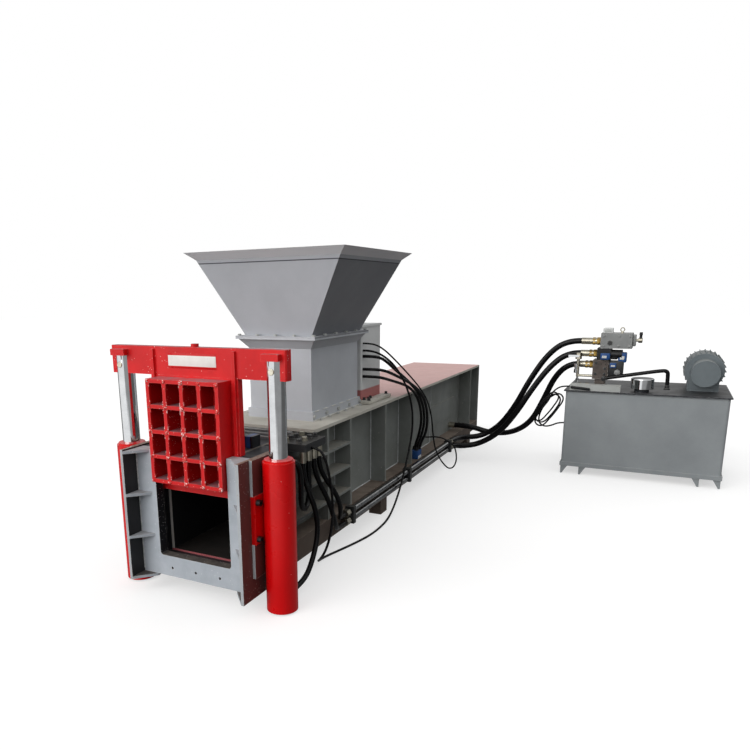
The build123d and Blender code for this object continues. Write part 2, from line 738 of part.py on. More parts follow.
with BuildPart() as main_gland:
    for gland_y, gland_r, gland_l in (
        (BULKHEAD_Y - GLAND_RIM_H, RAM_BARREL_R, GLAND_RIM_H),
        (BULKHEAD_Y, RAM_BORE_R, RAM_GLAND_L),
    ):
        with BuildSketch(across(gland_y)):
            with Locations((0, axis_z)):
                Circle(gland_r)
                Circle(RAM_ROD_R + PISTON_GAP, mode=Mode.SUBTRACT)
        extrude(amount=-gland_l)
save(main_gland, "main_gland")


def throat(out):
    """The neck's outline moved outwards, as the low and high corners of a rectangle."""
    return (-NECK_HALF - out, NECK_FRONT_Y - out), (NECK_HALF + out, NECK_BACK_Y + out)


# Neck with its collar and flange
collar_top_z = NECK_TOP_Z + COLLAR_H
neck_top_z = collar_top_z + NECK_FLANGE_T
with BuildPart() as neck:
    with BuildSketch(Plane.XY.offset(DECK_TOP_Z)):
        corners(*throat(0))
        corners(*throat(-NECK_WALL), mode=Mode.SUBTRACT)
    extrude(amount=NECK_TOP_Z - DECK_TOP_Z)
    with BuildSketch(Plane.XY.offset(NECK_TOP_Z)):
        corners(*throat(0))
    with BuildSketch(Plane.XY.offset(collar_top_z)):
        corners(*throat(COLLAR_OUT))
    loft()
    with BuildSketch(Plane.XY.offset(NECK_TOP_Z)):
        corners(*throat(-NECK_WALL))
    with BuildSketch(Plane.XY.offset(collar_top_z)):
        corners(*throat(COLLAR_OUT - NECK_WALL))
    loft(mode=Mode.SUBTRACT)
    with BuildSketch(Plane.XY.offset(collar_top_z)):
        corners(*throat(NECK_FLANGE_OUT))
        corners(*throat(HOPPER_BASE_OUT), mode=Mode.SUBTRACT)
    extrude(amount=NECK_FLANGE_T)
save(neck, "neck")

# Strip round the neck's foot
with BuildPart() as neck_strip:
    with BuildSketch(Plane.XY.offset(DECK_TOP_Z)):
        corners(*throat(STRIP_T))
        corners(*throat(0), mode=Mode.SUBTRACT)
    extrude(amount=STRIP_H)
save(neck_strip, "neck_strip")

# Hopper: its flange, four sloping walls and a lip folded further out round the rim
hopper_base_z = neck_top_z + HOPPER_FLANGE_T
fold = (-HOPPER_FOLD_HALF, HOPPER_FOLD_FRONT_Y), (HOPPER_FOLD_HALF, HOPPER_FOLD_BACK_Y)


def widened(outline, out):
    """A rectangle given by two corners, moved outwards on all sides."""
    (low_x, low_y), (high_x, high_y) = outline
    return (low_x - out, low_y - out), (high_x + out, high_y + out)


with BuildPart() as hopper:
    for inset, how in ((0.0, Mode.ADD), (-HOPPER_WALL, Mode.SUBTRACT)):
        for low_z, low_outline, high_z, high_outline in (
            (hopper_base_z, throat(HOPPER_BASE_OUT), HOPPER_FOLD_Z, fold),
            (HOPPER_FOLD_Z, fold, HOPPER_FOLD_Z + LIP_RISE, widened(fold, LIP_OUT)),
        ):
            with BuildSketch(Plane.XY.offset(low_z)):
                corners(*widened(low_outline, inset))
            with BuildSketch(Plane.XY.offset(high_z)):
                corners(*widened(high_outline, inset))
            loft(mode=how)
    with BuildSketch(Plane.XY.offset(neck_top_z)):
        corners(*throat(NECK_FLANGE_OUT))
        corners(*throat(HOPPER_BASE_OUT - HOPPER_WALL), mode=Mode.SUBTRACT)
    extrude(amount=HOPPER_FLANGE_T)
save(hopper, "hopper")


def flange_bolt_places():
    """The bolts' places round the hopper's flange, evenly spaced along each side."""
    (low_x, low_y), (high_x, high_y) = throat(NECK_FLANGE_OUT - BOLT_INSET)
    pitch_x = (high_x - low_x) / (BOLTS_SHORT - 1)
    pitch_y = (high_y - low_y) / (BOLTS_LONG - 1)
    ends = [(low_x + i * pitch_x, y) for i in range(BOLTS_SHORT) for y in (low_y, high_y)]
    sides = [(x, low_y + i * pitch_y) for i in range(1, BOLTS_LONG - 1) for x in (low_x, high_x)]
    return ends + sides


# Hexagon bolt heads on the hopper's flange and on the strip at the neck's foot
with BuildPart() as neck_bolts:
    with BuildSketch(Plane.XY.offset(hopper_base_z)):
        with Locations(*flange_bolt_places()):
            RegularPolygon(BOLT_HEAD_R, 6)
    extrude(amount=BOLT_HEAD_H)
    strip_pitch = (NECK_BACK_Y - NECK_FRONT_Y) / (STRIP_BOLTS - 1)
    for side in (1, -1):
        with BuildSketch(Plane.YZ.offset(side * (NECK_HALF + STRIP_T))):
            with Locations(
                *[(NECK_FRONT_Y + i * strip_pitch, DECK_TOP_Z + STRIP_H / 2) for i in range(STRIP_BOLTS)]
            ):
                RegularPolygon(BOLT_HEAD_R, 6)
        extrude(amount=side * BOLT_HEAD_H)
save(neck_bolts, "neck_bolts")

# Box behind the neck, with its lid
with BuildPart() as rear_box:
    box_front_y = NECK_BACK_Y + REAR_BOX_GAP
    with BuildSketch(Plane.XY.offset(DECK_TOP_Z)):
        corners((-NECK_HALF, box_front_y), (NECK_HALF, REAR_BOX_BACK_Y))
    extrude(amount=REAR_BOX_TOP_Z - REAR_BOX_LID_T - DECK_TOP_Z)
    fillet(rear_box.edges().filter_by(Axis.Z), REAR_BOX_R)
    with BuildSketch(Plane.XY.offset(REAR_BOX_TOP_Z - REAR_BOX_LID_T)):
        corners(
            (-NECK_HALF - REAR_BOX_LID_OVER, box_front_y),
            (NECK_HALF + REAR_BOX_LID_OVER, REAR_BOX_BACK_Y + REAR_BOX_LID_OVER),
        )
    extrude(amount=REAR_BOX_LID_T)
save(rear_box, "rear_box")

# Manifold on the right wall, with four hose ferrules under it
with BuildPart() as manifold:
    with BuildSketch(Plane.XY.offset(MANIFOLD_Z[0])):
        corners((wall_out, MANIFOLD_Y[0]), (wall_out + MANIFOLD_W, MANIFOLD_Y[1]))
    extrude(amount=MANIFOLD_Z[1] - MANIFOLD_Z[0])
    chamfer(manifold.edges().filter_by(Axis.Z), MANIFOLD_CHAMFER)
save(manifold, "manifold")

# Two long pipes along the right rail
with BuildPart() as side_pipes:
    with BuildSketch(across(PIPE_Y[0])):
        with Locations(*[(PIPE_X, z) for z in PIPE_Z]):
            Circle(PIPE_R)
            Circle(PIPE_BORE_R, mode=Mode.SUBTRACT)
    extrude(amount=-(PIPE_Y[1] - PIPE_Y[0]))
save(side_pipes, "side_pipes")

# Clamps that hold the pipes to the rail
with BuildPart() as pipe_clamps:
    for clamp_y in CLAMP_Y:
        with BuildSketch(across(clamp_y)):
            corners(
                (BODY_HALF, PIPE_Z[0] - PIPE_R - CLAMP_OVER),
                (PIPE_X + PIPE_R + CLAMP_OVER, PIPE_Z[1] + PIPE_R + CLAMP_OVER),
            )
            with Locations(*[(PIPE_X, z) for z in PIPE_Z]):
                Circle(PIPE_R, mode=Mode.SUBTRACT)
        extrude(amount=-CLAMP_L)
save(pipe_clamps, "pipe_clamps")

# Unions on the pipes' ends
with BuildPart() as pipe_unions:
    for union_y in (PIPE_Y[0] - UNION_L, PIPE_Y[1]):
        with BuildSketch(across(union_y)):
            with Locations(*[(PIPE_X, z) for z in PIPE_Z]):
                RegularPolygon(UNION_R, 6)
        extrude(amount=-UNION_L)
save(pipe_unions, "pipe_unions")

# Limit switch on the front of the deck
with BuildPart() as limit_switch:
    with BuildSketch(Plane.XY.offset(FRAME_TOP_Z)):
        with Locations(SWITCH_AT):
            RectangleRounded(SWITCH_SIZE[0], SWITCH_SIZE[1], SWITCH_CORNER_R)
    extrude(amount=SWITCH_SIZE[2])
save(limit_switch, "limit_switch")

tank_right_x = TANK_LEFT_X + TANK_W
tank_back_y = UNIT_FRONT_Y + TANK_D
tank_low, tank_high = (TANK_LEFT_X, UNIT_FRONT_Y), (tank_right_x, tank_back_y)

# Tank: an open sheet box with rounded corners, a band round its foot and tapering feet
with BuildPart() as tank:
    with BuildSketch(Plane.XY.offset(TANK_BOTTOM_Z)):
        corners(tank_low, tank_high)
    extrude(amount=TANK_TOP_Z - TANK_BOTTOM_Z)
    fillet(tank.edges().filter_by(Axis.Z), TANK_CORNER_R)
    offset(amount=-TANK_WALL, openings=tank.faces().sort_by(Axis.Z)[-1])
    with BuildSketch(Plane.XY.offset(TANK_BOTTOM_Z)):
        corners(*widened((tank_low, tank_high), TANK_BAND_OUT))
        corners(*widened((tank_low, tank_high), -TANK_WALL / 2), mode=Mode.SUBTRACT)
    extrude(amount=TANK_BAND_H)
    for foot_x in (TANK_LEFT_X, TANK_LEFT_X + TANK_FOOT_W, tank_right_x - TANK_FOOT_W, tank_right_x):
        inward = 1 if foot_x < (TANK_LEFT_X + tank_right_x) / 2 else -1
        for foot_y in (UNIT_FRONT_Y, tank_back_y - TANK_FOOT_T):
            with BuildSketch(across(foot_y)):
                with BuildLine():
                    Polyline(
                        (foot_x, TANK_BOTTOM_Z),
                        (foot_x, 0),
                        (foot_x + inward * TANK_FOOT_TIP, 0),
                        (foot_x + inward * TANK_FOOT_TOP, TANK_BOTTOM_Z),
                        close=True,
                    )
                make_face()
            extrude(amount=-TANK_FOOT_T)
save(tank, "tank")

# Tank lid with the breather's neck
breather_y = UNIT_FRONT_Y + BREATHER_R + LID_OVER
with BuildPart() as tank_lid:
    with BuildSketch(Plane.XY.offset(TANK_TOP_Z)):
        corners(*widened((tank_low, tank_high), LID_OVER))
    extrude(amount=LID_T)
    with BuildSketch(Plane.XY.offset(TANK_TOP_Z + LID_T)):
        with Locations((BREATHER_X, breather_y)):
            Circle(BREATHER_NECK_R)
    extrude(amount=BREATHER_Z[0] - TANK_TOP_Z - LID_T)
save(tank_lid, "tank_lid")

# Breather and filler cap, which turns on its neck
with BuildPart() as breather_cap:
    with BuildSketch(Plane.XY.offset(BREATHER_Z[0] + SEAT_GAP)):
        with Locations((BREATHER_X, breather_y)):
            Circle(BREATHER_R)
    extrude(amount=BREATHER_Z[1] - BREATHER_Z[0] - SEAT_GAP)
    fillet(breather_cap.edges().group_by(Axis.Z)[-1], BREATHER_EDGE_R)
save(breather_cap, "breather_cap")

# Cover bar along the lid's front edge
with BuildPart() as cover_bar:
    with BuildSketch(Plane.XY.offset(TANK_TOP_Z + LID_T)):
        corners((COVER_X[0], UNIT_FRONT_Y), (COVER_X[1], UNIT_FRONT_Y + COVER_D))
    extrude(amount=COVER_TOP_Z - TANK_TOP_Z - LID_T)
save(cover_bar, "cover_bar")

# Lower manifold on its stand, valve sandwich and valve block above it
block_front_y = UNIT_FRONT_Y + COVER_D + BLOCK_SETBACK
with BuildPart() as lower_manifold:
    for (x0, x1), (z0, z1), inset in (
        (LOWER_X, (TANK_TOP_Z + LID_T, LOWER_Z[0]), STAND_INSET),
        (LOWER_X, LOWER_Z, 0.0),
    ):
        with BuildSketch(Plane.XY.offset(z0)):
            corners((x0 + inset, block_front_y + inset), (x1 - inset, block_front_y + LOWER_D - inset))
        extrude(amount=z1 - z0)
save(lower_manifold, "lower_manifold")

with BuildPart() as solenoid_valves:
    with BuildSketch(Plane.XY.offset(LOWER_Z[1])):
        corners((VALVE_X[0], block_front_y), (VALVE_X[1], block_front_y + LOWER_D))
    extrude(amount=BLOCK_Z[0] - LOWER_Z[1])
    with BuildSketch(Plane.YZ.offset(VALVE_X[1])):
        with Locations((block_front_y + LOWER_D / 2, (LOWER_Z[1] + BLOCK_Z[0]) / 2)):
            with GridLocations(LOWER_D - 2 * COIL_R, 0, 2, 1):
                Circle(COIL_R)
    extrude(amount=COIL_L)
save(solenoid_valves, "solenoid_valves")

with BuildPart() as valve_block:
    with BuildSketch(Plane.XY.offset(BLOCK_Z[0])):
        corners((BLOCK_X[0], block_front_y), (BLOCK_X[1], block_front_y + BLOCK_D))
    extrude(amount=BLOCK_Z[1] - BLOCK_Z[0])
    chamfer(valve_block.edges().filter_by(Axis.Z), MANIFOLD_CHAMFER)
save(valve_block, "valve_block")

# Ball valve on its stem, fed from the lower manifold
cock_y = block_front_y + COCK_INSET
with BuildPart() as gauge_cock:
    with BuildSketch(Plane.YZ.offset(LOWER_X[0])):
        with Locations((cock_y, COCK_FEED_Z)):
            Circle(COCK_PIPE_R)
    extrude(amount=-(LOWER_X[0] - COCK_X))
    with BuildSketch(Plane.XY.offset(COCK_FEED_Z - COCK_PIPE_R)):
        with Locations((COCK_X, cock_y)):
            Circle(COCK_PIPE_R + 1)
    extrude(amount=COCK_Z[0] - COCK_FEED_Z + COCK_PIPE_R)
    with BuildSketch(Plane.XY.offset(COCK_Z[0])):
        with Locations((COCK_X, cock_y)):
            RegularPolygon(COCK_R, 6, major_radius=False)
    extrude(amount=COCK_Z[1] - COCK_Z[0])
    cock_axis_z = (COCK_Z[0] + COCK_Z[1]) / 2
    with BuildSketch(across(cock_y - COCK_R)):
        with Locations((COCK_X, cock_axis_z)):
            Circle(LEVER_PIN_R + PIN_GAP)
    extrude(amount=-LEVER_PIN_L, mode=Mode.SUBTRACT)
save(gauge_cock, "gauge_cock")

# Lever of the ball valve, on the front of its body
with BuildPart() as cock_lever:
    with BuildSketch(across(cock_y - COCK_R - SEAT_GAP)):
        with Locations((COCK_X, cock_axis_z)):
            Circle(LEVER_W / 2)
            with Locations((-LEVER_L / 2, 0)):
                Rectangle(LEVER_L, LEVER_W)
    extrude(amount=LEVER_T)
    with BuildSketch(across(cock_y - COCK_R - SEAT_GAP)):
        with Locations((COCK_X, cock_axis_z)):
            Circle(LEVER_PIN_R)
    extrude(amount=-(LEVER_PIN_L - SEAT_GAP))
save(cock_lever, "cock_lever")

# Motor with its foot plate, standing on the lid
motor_y = block_front_y + LOWER_D + MOTOR_BEHIND
motor_z = TANK_TOP_Z + LID_T + MOTOR_RISE
with BuildPart() as motor:
    with BuildSketch(across(motor_y)):
        with Locations((MOTOR_X, motor_z)):
            Circle(MOTOR_R)
            with PolarLocations(MOTOR_R, MOTOR_FINS):
                Rectangle(2 * FIN_H, FIN_T)
        corners((MOTOR_X - MOTOR_FOOT_HALF, TANK_TOP_Z + LID_T), (MOTOR_X + MOTOR_FOOT_HALF, motor_z))
    extrude(amount=-MOTOR_L)
    with BuildSketch(across(motor_y)):
        with Locations((MOTOR_X, motor_z)):
            Circle(SHAFT_R + PISTON_GAP)
    extrude(amount=-MOTOR_L / 2, mode=Mode.SUBTRACT)
save(motor, "motor")

# Bell housing and pump in front of the motor
with BuildPart() as pump:
    with BuildSketch(across(motor_y - BELL_L)):
        with Locations((MOTOR_X, motor_z)):
            Circle(BELL_R)
            Circle(BELL_R - BELL_WALL, mode=Mode.SUBTRACT)
    extrude(amount=-BELL_L)
    with BuildSketch(across(motor_y - BELL_L - PUMP_L)):
        with Locations((MOTOR_X, motor_z)):
            Circle(BELL_R)
    extrude(amount=-PUMP_L)
    with BuildSketch(across(motor_y - BELL_L)):
        with Locations((MOTOR_X, motor_z)):
            Circle(SHAFT_R + PISTON_GAP)
    extrude(amount=PUMP_L / 2, mode=Mode.SUBTRACT)
save(pump, "pump")

# Motor shaft with its coupling, inside the bell housing
with BuildPart() as motor_shaft:
    shaft_front_y = motor_y - BELL_L - PUMP_L / 2 + SHAFT_END_GAP
    with BuildSketch(across(shaft_front_y)):
        with Locations((MOTOR_X, motor_z)):
            Circle(SHAFT_R)
    extrude(amount=-(motor_y + MOTOR_L / 2 - SHAFT_END_GAP - shaft_front_y))
    with BuildSketch(across(motor_y - BELL_L + COUPLING_GAP)):
        with Locations((MOTOR_X, motor_z)):
            Circle(COUPLING_R)
    extrude(amount=-(BELL_L - 2 * COUPLING_GAP))
save(motor_shaft, "motor_shaft")

# Hose ends: ferrules under the manifold, on the pipes' unions and on the power unit's blocks
unit_port_y = block_front_y + LOWER_D / 2
ferrule_tops = [(FERRULE_X, MANIFOLD_Y[0] + FERRULE_INSET + i * FERRULE_PITCH) for i in range(4)]
with BuildPart() as hose_ferrules:
    with BuildSketch(Plane.XY.offset(MANIFOLD_Z[0])):
        with Locations(*ferrule_tops):
            Circle(FERRULE_R)
    extrude(amount=-FERRULE_L)
    for port_x, port_z in UNIT_PORTS:
        with BuildSketch(Plane.YZ.offset(port_x)):
            with Locations((unit_port_y, port_z)):
                Circle(UNIT_FERRULE_R)
        extrude(amount=-(port_x - UNIT_HOSE_X))
    with BuildSketch(Plane.YZ.offset(wall_out)):
        with Locations((WALL_PORT_Y, WALL_PORT_Z)):
            Circle(UNIT_FERRULE_R)
    extrude(amount=WALL_PORT_L)
save(hose_ferrules, "hose_ferrules")


def corner_radii(points):
    """The radius at each corner of a free hose: as large as its two runs allow."""
    vectors = [Vector(*point) for point in points]
    radii = []
    for before, at, after in zip(vectors, vectors[1:], vectors[2:]):
        run_in, run_out = at - before, after - at
        turn = run_in.get_angle(run_out) * pi / 180
        radii.append(0.45 * min(run_in.length, run_out.length) / tan(turn / 2))
    return radii


# Free hoses: three from the power unit to the press, four from the manifold
port_y = cyl_y + BARREL_R + PORT_L
low_port_z = BARREL_BOTTOM_Z + BARREL_CAP_T + PORT_R
ferrule_end_z = MANIFOLD_Z[0] - FERRULE_L
union_front_y = PIPE_Y[0] - UNION_L
union_back_y = PIPE_Y[1] + UNION_L
HOSES = {
    "unit_hose_top": (UNIT_HOSE_R, [
        (UNIT_HOSE_X, unit_port_y, UNIT_PORTS[0][1]),
        (990, unit_port_y, UNIT_PORTS[0][1]),
        (876, 2692, 770),
        (766, 2700, 590),
        (678, 2715, 404),
        (568, 2735, 243),
        (440, 2735, 160),
        (336, 2670, 158),
        (PIPE_X, 2570, PIPE_Z[1]),
        (PIPE_X, union_back_y, PIPE_Z[1]),
    ]),
    "unit_hose_middle": (UNIT_HOSE_R, [
        (UNIT_HOSE_X, unit_port_y, UNIT_PORTS[1][1]),
        (1000, unit_port_y, UNIT_PORTS[1][1]),
        (896, 2660, 690),
        (790, 2645, 530),
        (700, 2640, 366),
        (588, 2648, 215),
        (450, 2660, 121),
        (342, 2620, 103),
        (PIPE_X, 2545, PIPE_Z[0]),
        (PIPE_X, union_back_y, PIPE_Z[0]),
    ]),
    "unit_hose_low": (UNIT_HOSE_R, [
        (UNIT_HOSE_X, unit_port_y, UNIT_PORTS[2][1]),
        (1012, unit_port_y, UNIT_PORTS[2][1]),
        (920, 2735, 614),
        (853, 2765, 448),
        (776, 2785, 282),
        (648, 2800, 191),
        (490, 2804, 176),
        (352, WALL_PORT_Y, WALL_PORT_Z),
        (wall_out + WALL_PORT_L, WALL_PORT_Y, WALL_PORT_Z),
    ]),
    "barrel_hose_low": (HOSE_R, [
        (*ferrule_tops[0], ferrule_end_z),
        (*ferrule_tops[0], 455),
        (328, 354, 381),
        (348, 374, 296),
        (350, 380, 200),
        (356, 322, 112),
        (CYL_X, 250, low_port_z),
        (CYL_X, port_y, low_port_z),
    ]),
    "barrel_hose_high": (HOSE_R, [
        (*ferrule_tops[1], ferrule_end_z),
        (*ferrule_tops[1], 440),
        (300, 403, 382),
        (304, 384, 336),
        (315, 340, 318),
        (332, 285, 339),
        (346, 248, 388),
        (CYL_X, 238, 445),
        (CYL_X, 234, 500),
        (CYL_X, 216, 543),
        (CYL_X, 190, PORT_Z),
        (CYL_X, port_y, PORT_Z),
    ]),
    "pipe_hose_low": (HOSE_R, [
        (*ferrule_tops[2], ferrule_end_z),
        (*ferrule_tops[2], 462),
        (314, 472, 390),
        (338, 500, 316),
        (348, 530, 236),
        (334, 586, 160),
        (PIPE_X, 668, PIPE_Z[0]),
        (PIPE_X, union_front_y, PIPE_Z[0]),
    ]),
    "pipe_hose_high": (HOSE_R, [
        (*ferrule_tops[3], ferrule_end_z),
        (*ferrule_tops[3], 465),
        (316, 520, 400),
        (342, 556, 338),
        (352, 592, 270),
        (336, 630, 205),
        (PIPE_X, 688, PIPE_Z[1]),
        (PIPE_X, union_front_y, PIPE_Z[1]),
    ]),
}


def tube(points, tube_r):
    """One round tube along a free hose's or cable's points, into the open part, and the route that it takes."""
    with BuildLine() as route:
        FilletPolyline(*points, radius=corner_radii(points))
    path = route.wires()[0]
    with BuildSketch(Plane(origin=path @ 0, z_dir=path % 0)) as section:
        Circle(tube_r)
    sweep(section.sketch, path=path)
    return path


for name, (hose_r, points) in HOSES.items():
    with BuildPart() as hose:
        path = tube(points, hose_r)
    print(name, "radii", [round(r) for r in corner_radii(points)], "length", round(path.length))
    print(name, "volume against section by length", round(hose.part.volume / (pi * hose_r**2 * path.length), 4))
    save(hose, name)

# Electric cables: from the box behind the neck over the deck's edge, and a hank beside the power unit
cable_y = NECK_BACK_Y + REAR_BOX_GAP + CABLE_INSET
cables = [
    (CABLE_R, [
        (NECK_HALF, cable_y, 752),
        (205, cable_y, 752),
        (240, 1292, 748),
        (256, 1345, 735),
        (262, 1435, 712),
        (270, 1540, 686),
        (281, 1640, 655),
        (291, 1735, 603),
        (293, 1815, 525),
        (287, 1870, 425),
        (268, 1887, 330),
        (236, 1893, 245),
        (236, 1893, RAIL_TOP_Z),
    ]),
    (CABLE_R, [
        (NECK_HALF, cable_y, 858),
        (210, cable_y, 858),
        (247, 1292, 852),
        (266, 1345, 825),
        (276, 1435, 775),
        (287, 1540, 724),
        (299, 1640, 669),
        (310, 1735, 604),
        (312, 1815, 525),
        (306, 1870, 425),
        (290, 1875, 330),
        (258, 1872, 245),
        (258, 1872, RAIL_TOP_Z),
    ]),
    (CABLE_R, [
        (NECK_HALF, cable_y, 790),
        (212, cable_y, 790),
        (254, 1290, 787),
        (278, 1345, 770),
        (292, 1435, 738),
        (305, 1540, 702),
        (318, 1640, 659),
        (329, 1735, 605),
        (331, 1815, 526),
        (325, 1870, 426),
        (306, 1897, 330),
        (258, 1914, 245),
        (258, 1914, RAIL_TOP_Z),
    ]),
    (THIN_CABLE_R, [
        (NECK_HALF, cable_y, 925),
        (200, cable_y, 925),
        (232, 1292, 915),
        (250, 1350, 886),
        (262, 1440, 838),
        (276, 1540, 778),
        (294, 1640, 712),
        (316, 1735, 640),
        (340, 1815, 552),
        (350, 1870, 445),
        (350, 1900, 340),
        (352, 1935, 245),
        (364, 1990, 165),
        (385, 2050, 102),
        (406, 2080, 74),
        (428, 2106, 80),
        (441, 2118, 118),
        (440, 2119, 162),
        (430, 2117, 206),
        (408, 2112, 234),
        (366, 2106, 262),
        (306, 2102, 272),
        (240, 2100, 262),
        (wall_out, 2100, 262),
    ]),
    (SIGNAL_CABLE_R, [
        (NECK_HALF, cable_y, 888),
        (208, cable_y, 888),
        (250, 1287, 872),
        (292, 1345, 825),
        (316, 1425, 748),
        (328, 1500, 660),
        (334, 1560, 560),
        (334, 1580, 445),
        (328, 1555, 330),
        (322, 1500, 218),
        (324, 1420, 118),
        (332, 1310, 45),
        (344, 1190, 9),
        (353, 1060, 6),
        (350, 930, 6),
        (328, 810, 6),
        (300, 695, 6),
        (272, 590, 6),
        (280, 505, 18),
        (326, 440, 58),
        (372, 405, 118),
        (396, 408, 196),
        (402, 420, 286),
        (402, 412, 376),
        (400, 392, 460),
        (390, 380, 528),
        (364, 380, 570),
        (wall_out + MANIFOLD_W, 380, 570),
    ]),
]
hank = []
for turn, (half_l, bend_r) in enumerate(HANK_TURNS):
    for step, (along, out) in enumerate(HANK_SHAPE):
        reach = (half_l - bend_r) * along[0] + bend_r * along[1]
        hank.append((
            HANK_AT[0] + reach * HANK_TILT[0] - bend_r * out * HANK_TILT[1],
            HANK_AT[1] + (turn + step / len(HANK_SHAPE)) * HANK_PITCH,
            HANK_AT[2] + reach * HANK_TILT[1] + bend_r * out * HANK_TILT[0],
        ))
cables.append((HANK_CABLE_R, [*HANK_LEAD_IN, *hank, *HANK_LEAD_OUT]))
with BuildPart() as electric_cables:
    for cable_r, points in cables:
        path = tube(points, cable_r)
        print("cable radii", [round(r) for r in corner_radii(points)], "length", round(path.length))
save(electric_cables, "electric_cables")
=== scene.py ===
# %% [markdown]
# # A briquetting machine
#
# The machine is a hydraulic press: a long steel body with a hopper, a heavy front frame with a gate that two
# cylinders lift, and an oil tank with pump and valves standing beside it. Its solid model comes ready made,
# in metres, with the floor at z = 0, the gate facing -Y and X running to the right across the gate.
# Nearly all of its look is in painted steel: welds, spatter, dust, chipped edges and black rubber hoses.
#
# We load the solid model first, and a small function gives the box of any one of its pieces. Nothing that we
# add may stand out of it.

# %% Load the model, and a helper for a piece's box
import math

import bpy
from mathutils import Matrix, Vector


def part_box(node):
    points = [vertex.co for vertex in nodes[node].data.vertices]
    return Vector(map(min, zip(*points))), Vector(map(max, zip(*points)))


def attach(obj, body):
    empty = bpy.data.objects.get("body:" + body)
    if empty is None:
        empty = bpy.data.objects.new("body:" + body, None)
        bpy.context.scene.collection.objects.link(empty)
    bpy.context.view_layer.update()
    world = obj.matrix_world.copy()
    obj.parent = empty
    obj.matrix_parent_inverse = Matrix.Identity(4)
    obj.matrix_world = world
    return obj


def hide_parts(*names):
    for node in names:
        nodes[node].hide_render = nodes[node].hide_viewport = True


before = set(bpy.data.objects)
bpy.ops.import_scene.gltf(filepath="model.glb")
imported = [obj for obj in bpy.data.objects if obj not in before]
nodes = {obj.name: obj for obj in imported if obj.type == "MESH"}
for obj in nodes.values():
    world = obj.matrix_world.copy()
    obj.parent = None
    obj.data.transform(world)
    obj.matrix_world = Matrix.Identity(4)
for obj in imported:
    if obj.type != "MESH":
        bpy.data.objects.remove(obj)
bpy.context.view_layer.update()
bpy.ops.object.select_all(action="DESELECT")

# %% [markdown]
# ## Camera
#
# A camera could be aimed with a Track To constraint, but its lens shift and small roll came from measuring
# the photograph, so it is easier to write its three axes straight into a matrix. The picture is square.

# %% Camera
CAMERA_AT = Vector((1.572, -1.920, 1.185))
CAMERA_AZIMUTH = math.radians(28.03)
CAMERA_PITCH = math.radians(13.11)
CAMERA_ROLL = -0.015

forward = Vector((
    -math.sin(CAMERA_AZIMUTH) * math.cos(CAMERA_PITCH),
    math.cos(CAMERA_AZIMUTH) * math.cos(CAMERA_PITCH),
    -math.sin(CAMERA_PITCH),
))
level_right = Vector((math.cos(CAMERA_AZIMUTH), math.sin(CAMERA_AZIMUTH), 0.0))
level_up = level_right.cross(forward)
right = level_right * math.cos(CAMERA_ROLL) + level_up * math.sin(CAMERA_ROLL)
up = level_up * math.cos(CAMERA_ROLL) - level_right * math.sin(CAMERA_ROLL)

camera_data = bpy.data.cameras.new("camera")
camera_data.sensor_width = 36.0
camera_data.lens = 31.6
camera_data.shift_x = 0.0785
camera_data.shift_y = 0.095
camera_data.clip_end = 60.0
camera = bpy.data.objects.new("camera", camera_data)
camera.matrix_world = Matrix.Translation(CAMERA_AT) @ Matrix((right, up, -forward)).transposed().to_4x4()
bpy.context.collection.objects.link(camera)
bpy.context.scene.camera = camera
print("camera at", tuple(CAMERA_AT), "looking along", tuple(round(v, 3) for v in forward))

# %% [markdown]
# ## Floor, background and light
#
# The photograph has a white background and one broad light from the front left: faces that look there are
# bright, the sides half as bright, and slopes that look down to the right nearly black. A sun lamp with a
# very wide angle gives soft shadows, and a sky that is brighter above than at the horizon fills them.
# The camera sees plain white. Reflections see white in front, on the left and above, and a darker room
# behind and on the right, because that is what draws the grey bands along a chrome rod.

# %% Helpers that place nodes, for the sky, the floor and the paints
def add_node(tree, kind, settings=None, **links):
    """A node with its settings, and its inputs joined to other nodes' sockets or set to numbers."""
    node = tree.nodes.new(kind)
    for key, value in (settings or {}).items():
        setattr(node, key, value)
    for key, value in links.items():
        socket = node.inputs[int(key[1:])] if key[0] == "i" and key[1:].isdigit() else node.inputs[key]
        if isinstance(value, bpy.types.NodeSocket):
            tree.links.new(value, socket)
        else:
            socket.default_value = value
    return node


def math_node(tree, operation, first, second=0.0, clamp=False):
    """One Math node: its result is a socket that the next node can take."""
    settings = {"operation": operation, "use_clamp": clamp}
    return add_node(tree, "ShaderNodeMath", settings, i0=first, i1=second).outputs[0]


def ranged(tree, source, low, high, at_low, at_high):
    """A value that goes from at_low to at_high while source goes from low to high."""
    return add_node(tree, "ShaderNodeMapRange", i0=source, i1=low, i2=high, i3=at_low, i4=at_high).outputs[0]


def here(tree):
    """The place of a surface in metres."""
    return tree.nodes.new("ShaderNodeTexCoord").outputs["Object"]


def noise(tree, scale, detail, **settings):
    """A soft noise through the machine's space."""
    return add_node(tree, "ShaderNodeTexNoise", Vector=here(tree), Scale=scale, Detail=detail,
                    **settings).outputs[0]


def new_material(name):
    """A material with its node tree and its shader."""
    material = bpy.data.materials.new(name)
    material.use_nodes = True
    return material, material.node_tree, material.node_tree.nodes["Principled BSDF"]


print("node helpers ready")

# %% World: one sky for the light, white for the camera, a room for reflections
SKY_AT_HORIZON = 0.22
SKY_ABOVE = 1.05
WHITE = (1.0, 1.0, 1.0, 1.0)
scene = bpy.context.scene
scene.view_settings.view_transform = "Standard"
world = bpy.data.worlds.new("studio")
scene.world = world
world.use_nodes = True
sky = world.node_tree
sky.nodes.clear()


def sky_light(**strength_or_colour):
    """A plain background light."""
    return add_node(sky, "ShaderNodeBackground", **strength_or_colour).outputs[0]


def sky_choose(choice, first, second):
    """The first light where choice is 0, the second where it is 1."""
    return add_node(sky, "ShaderNodeMixShader", Fac=choice, i1=first, i2=second).outputs[0]


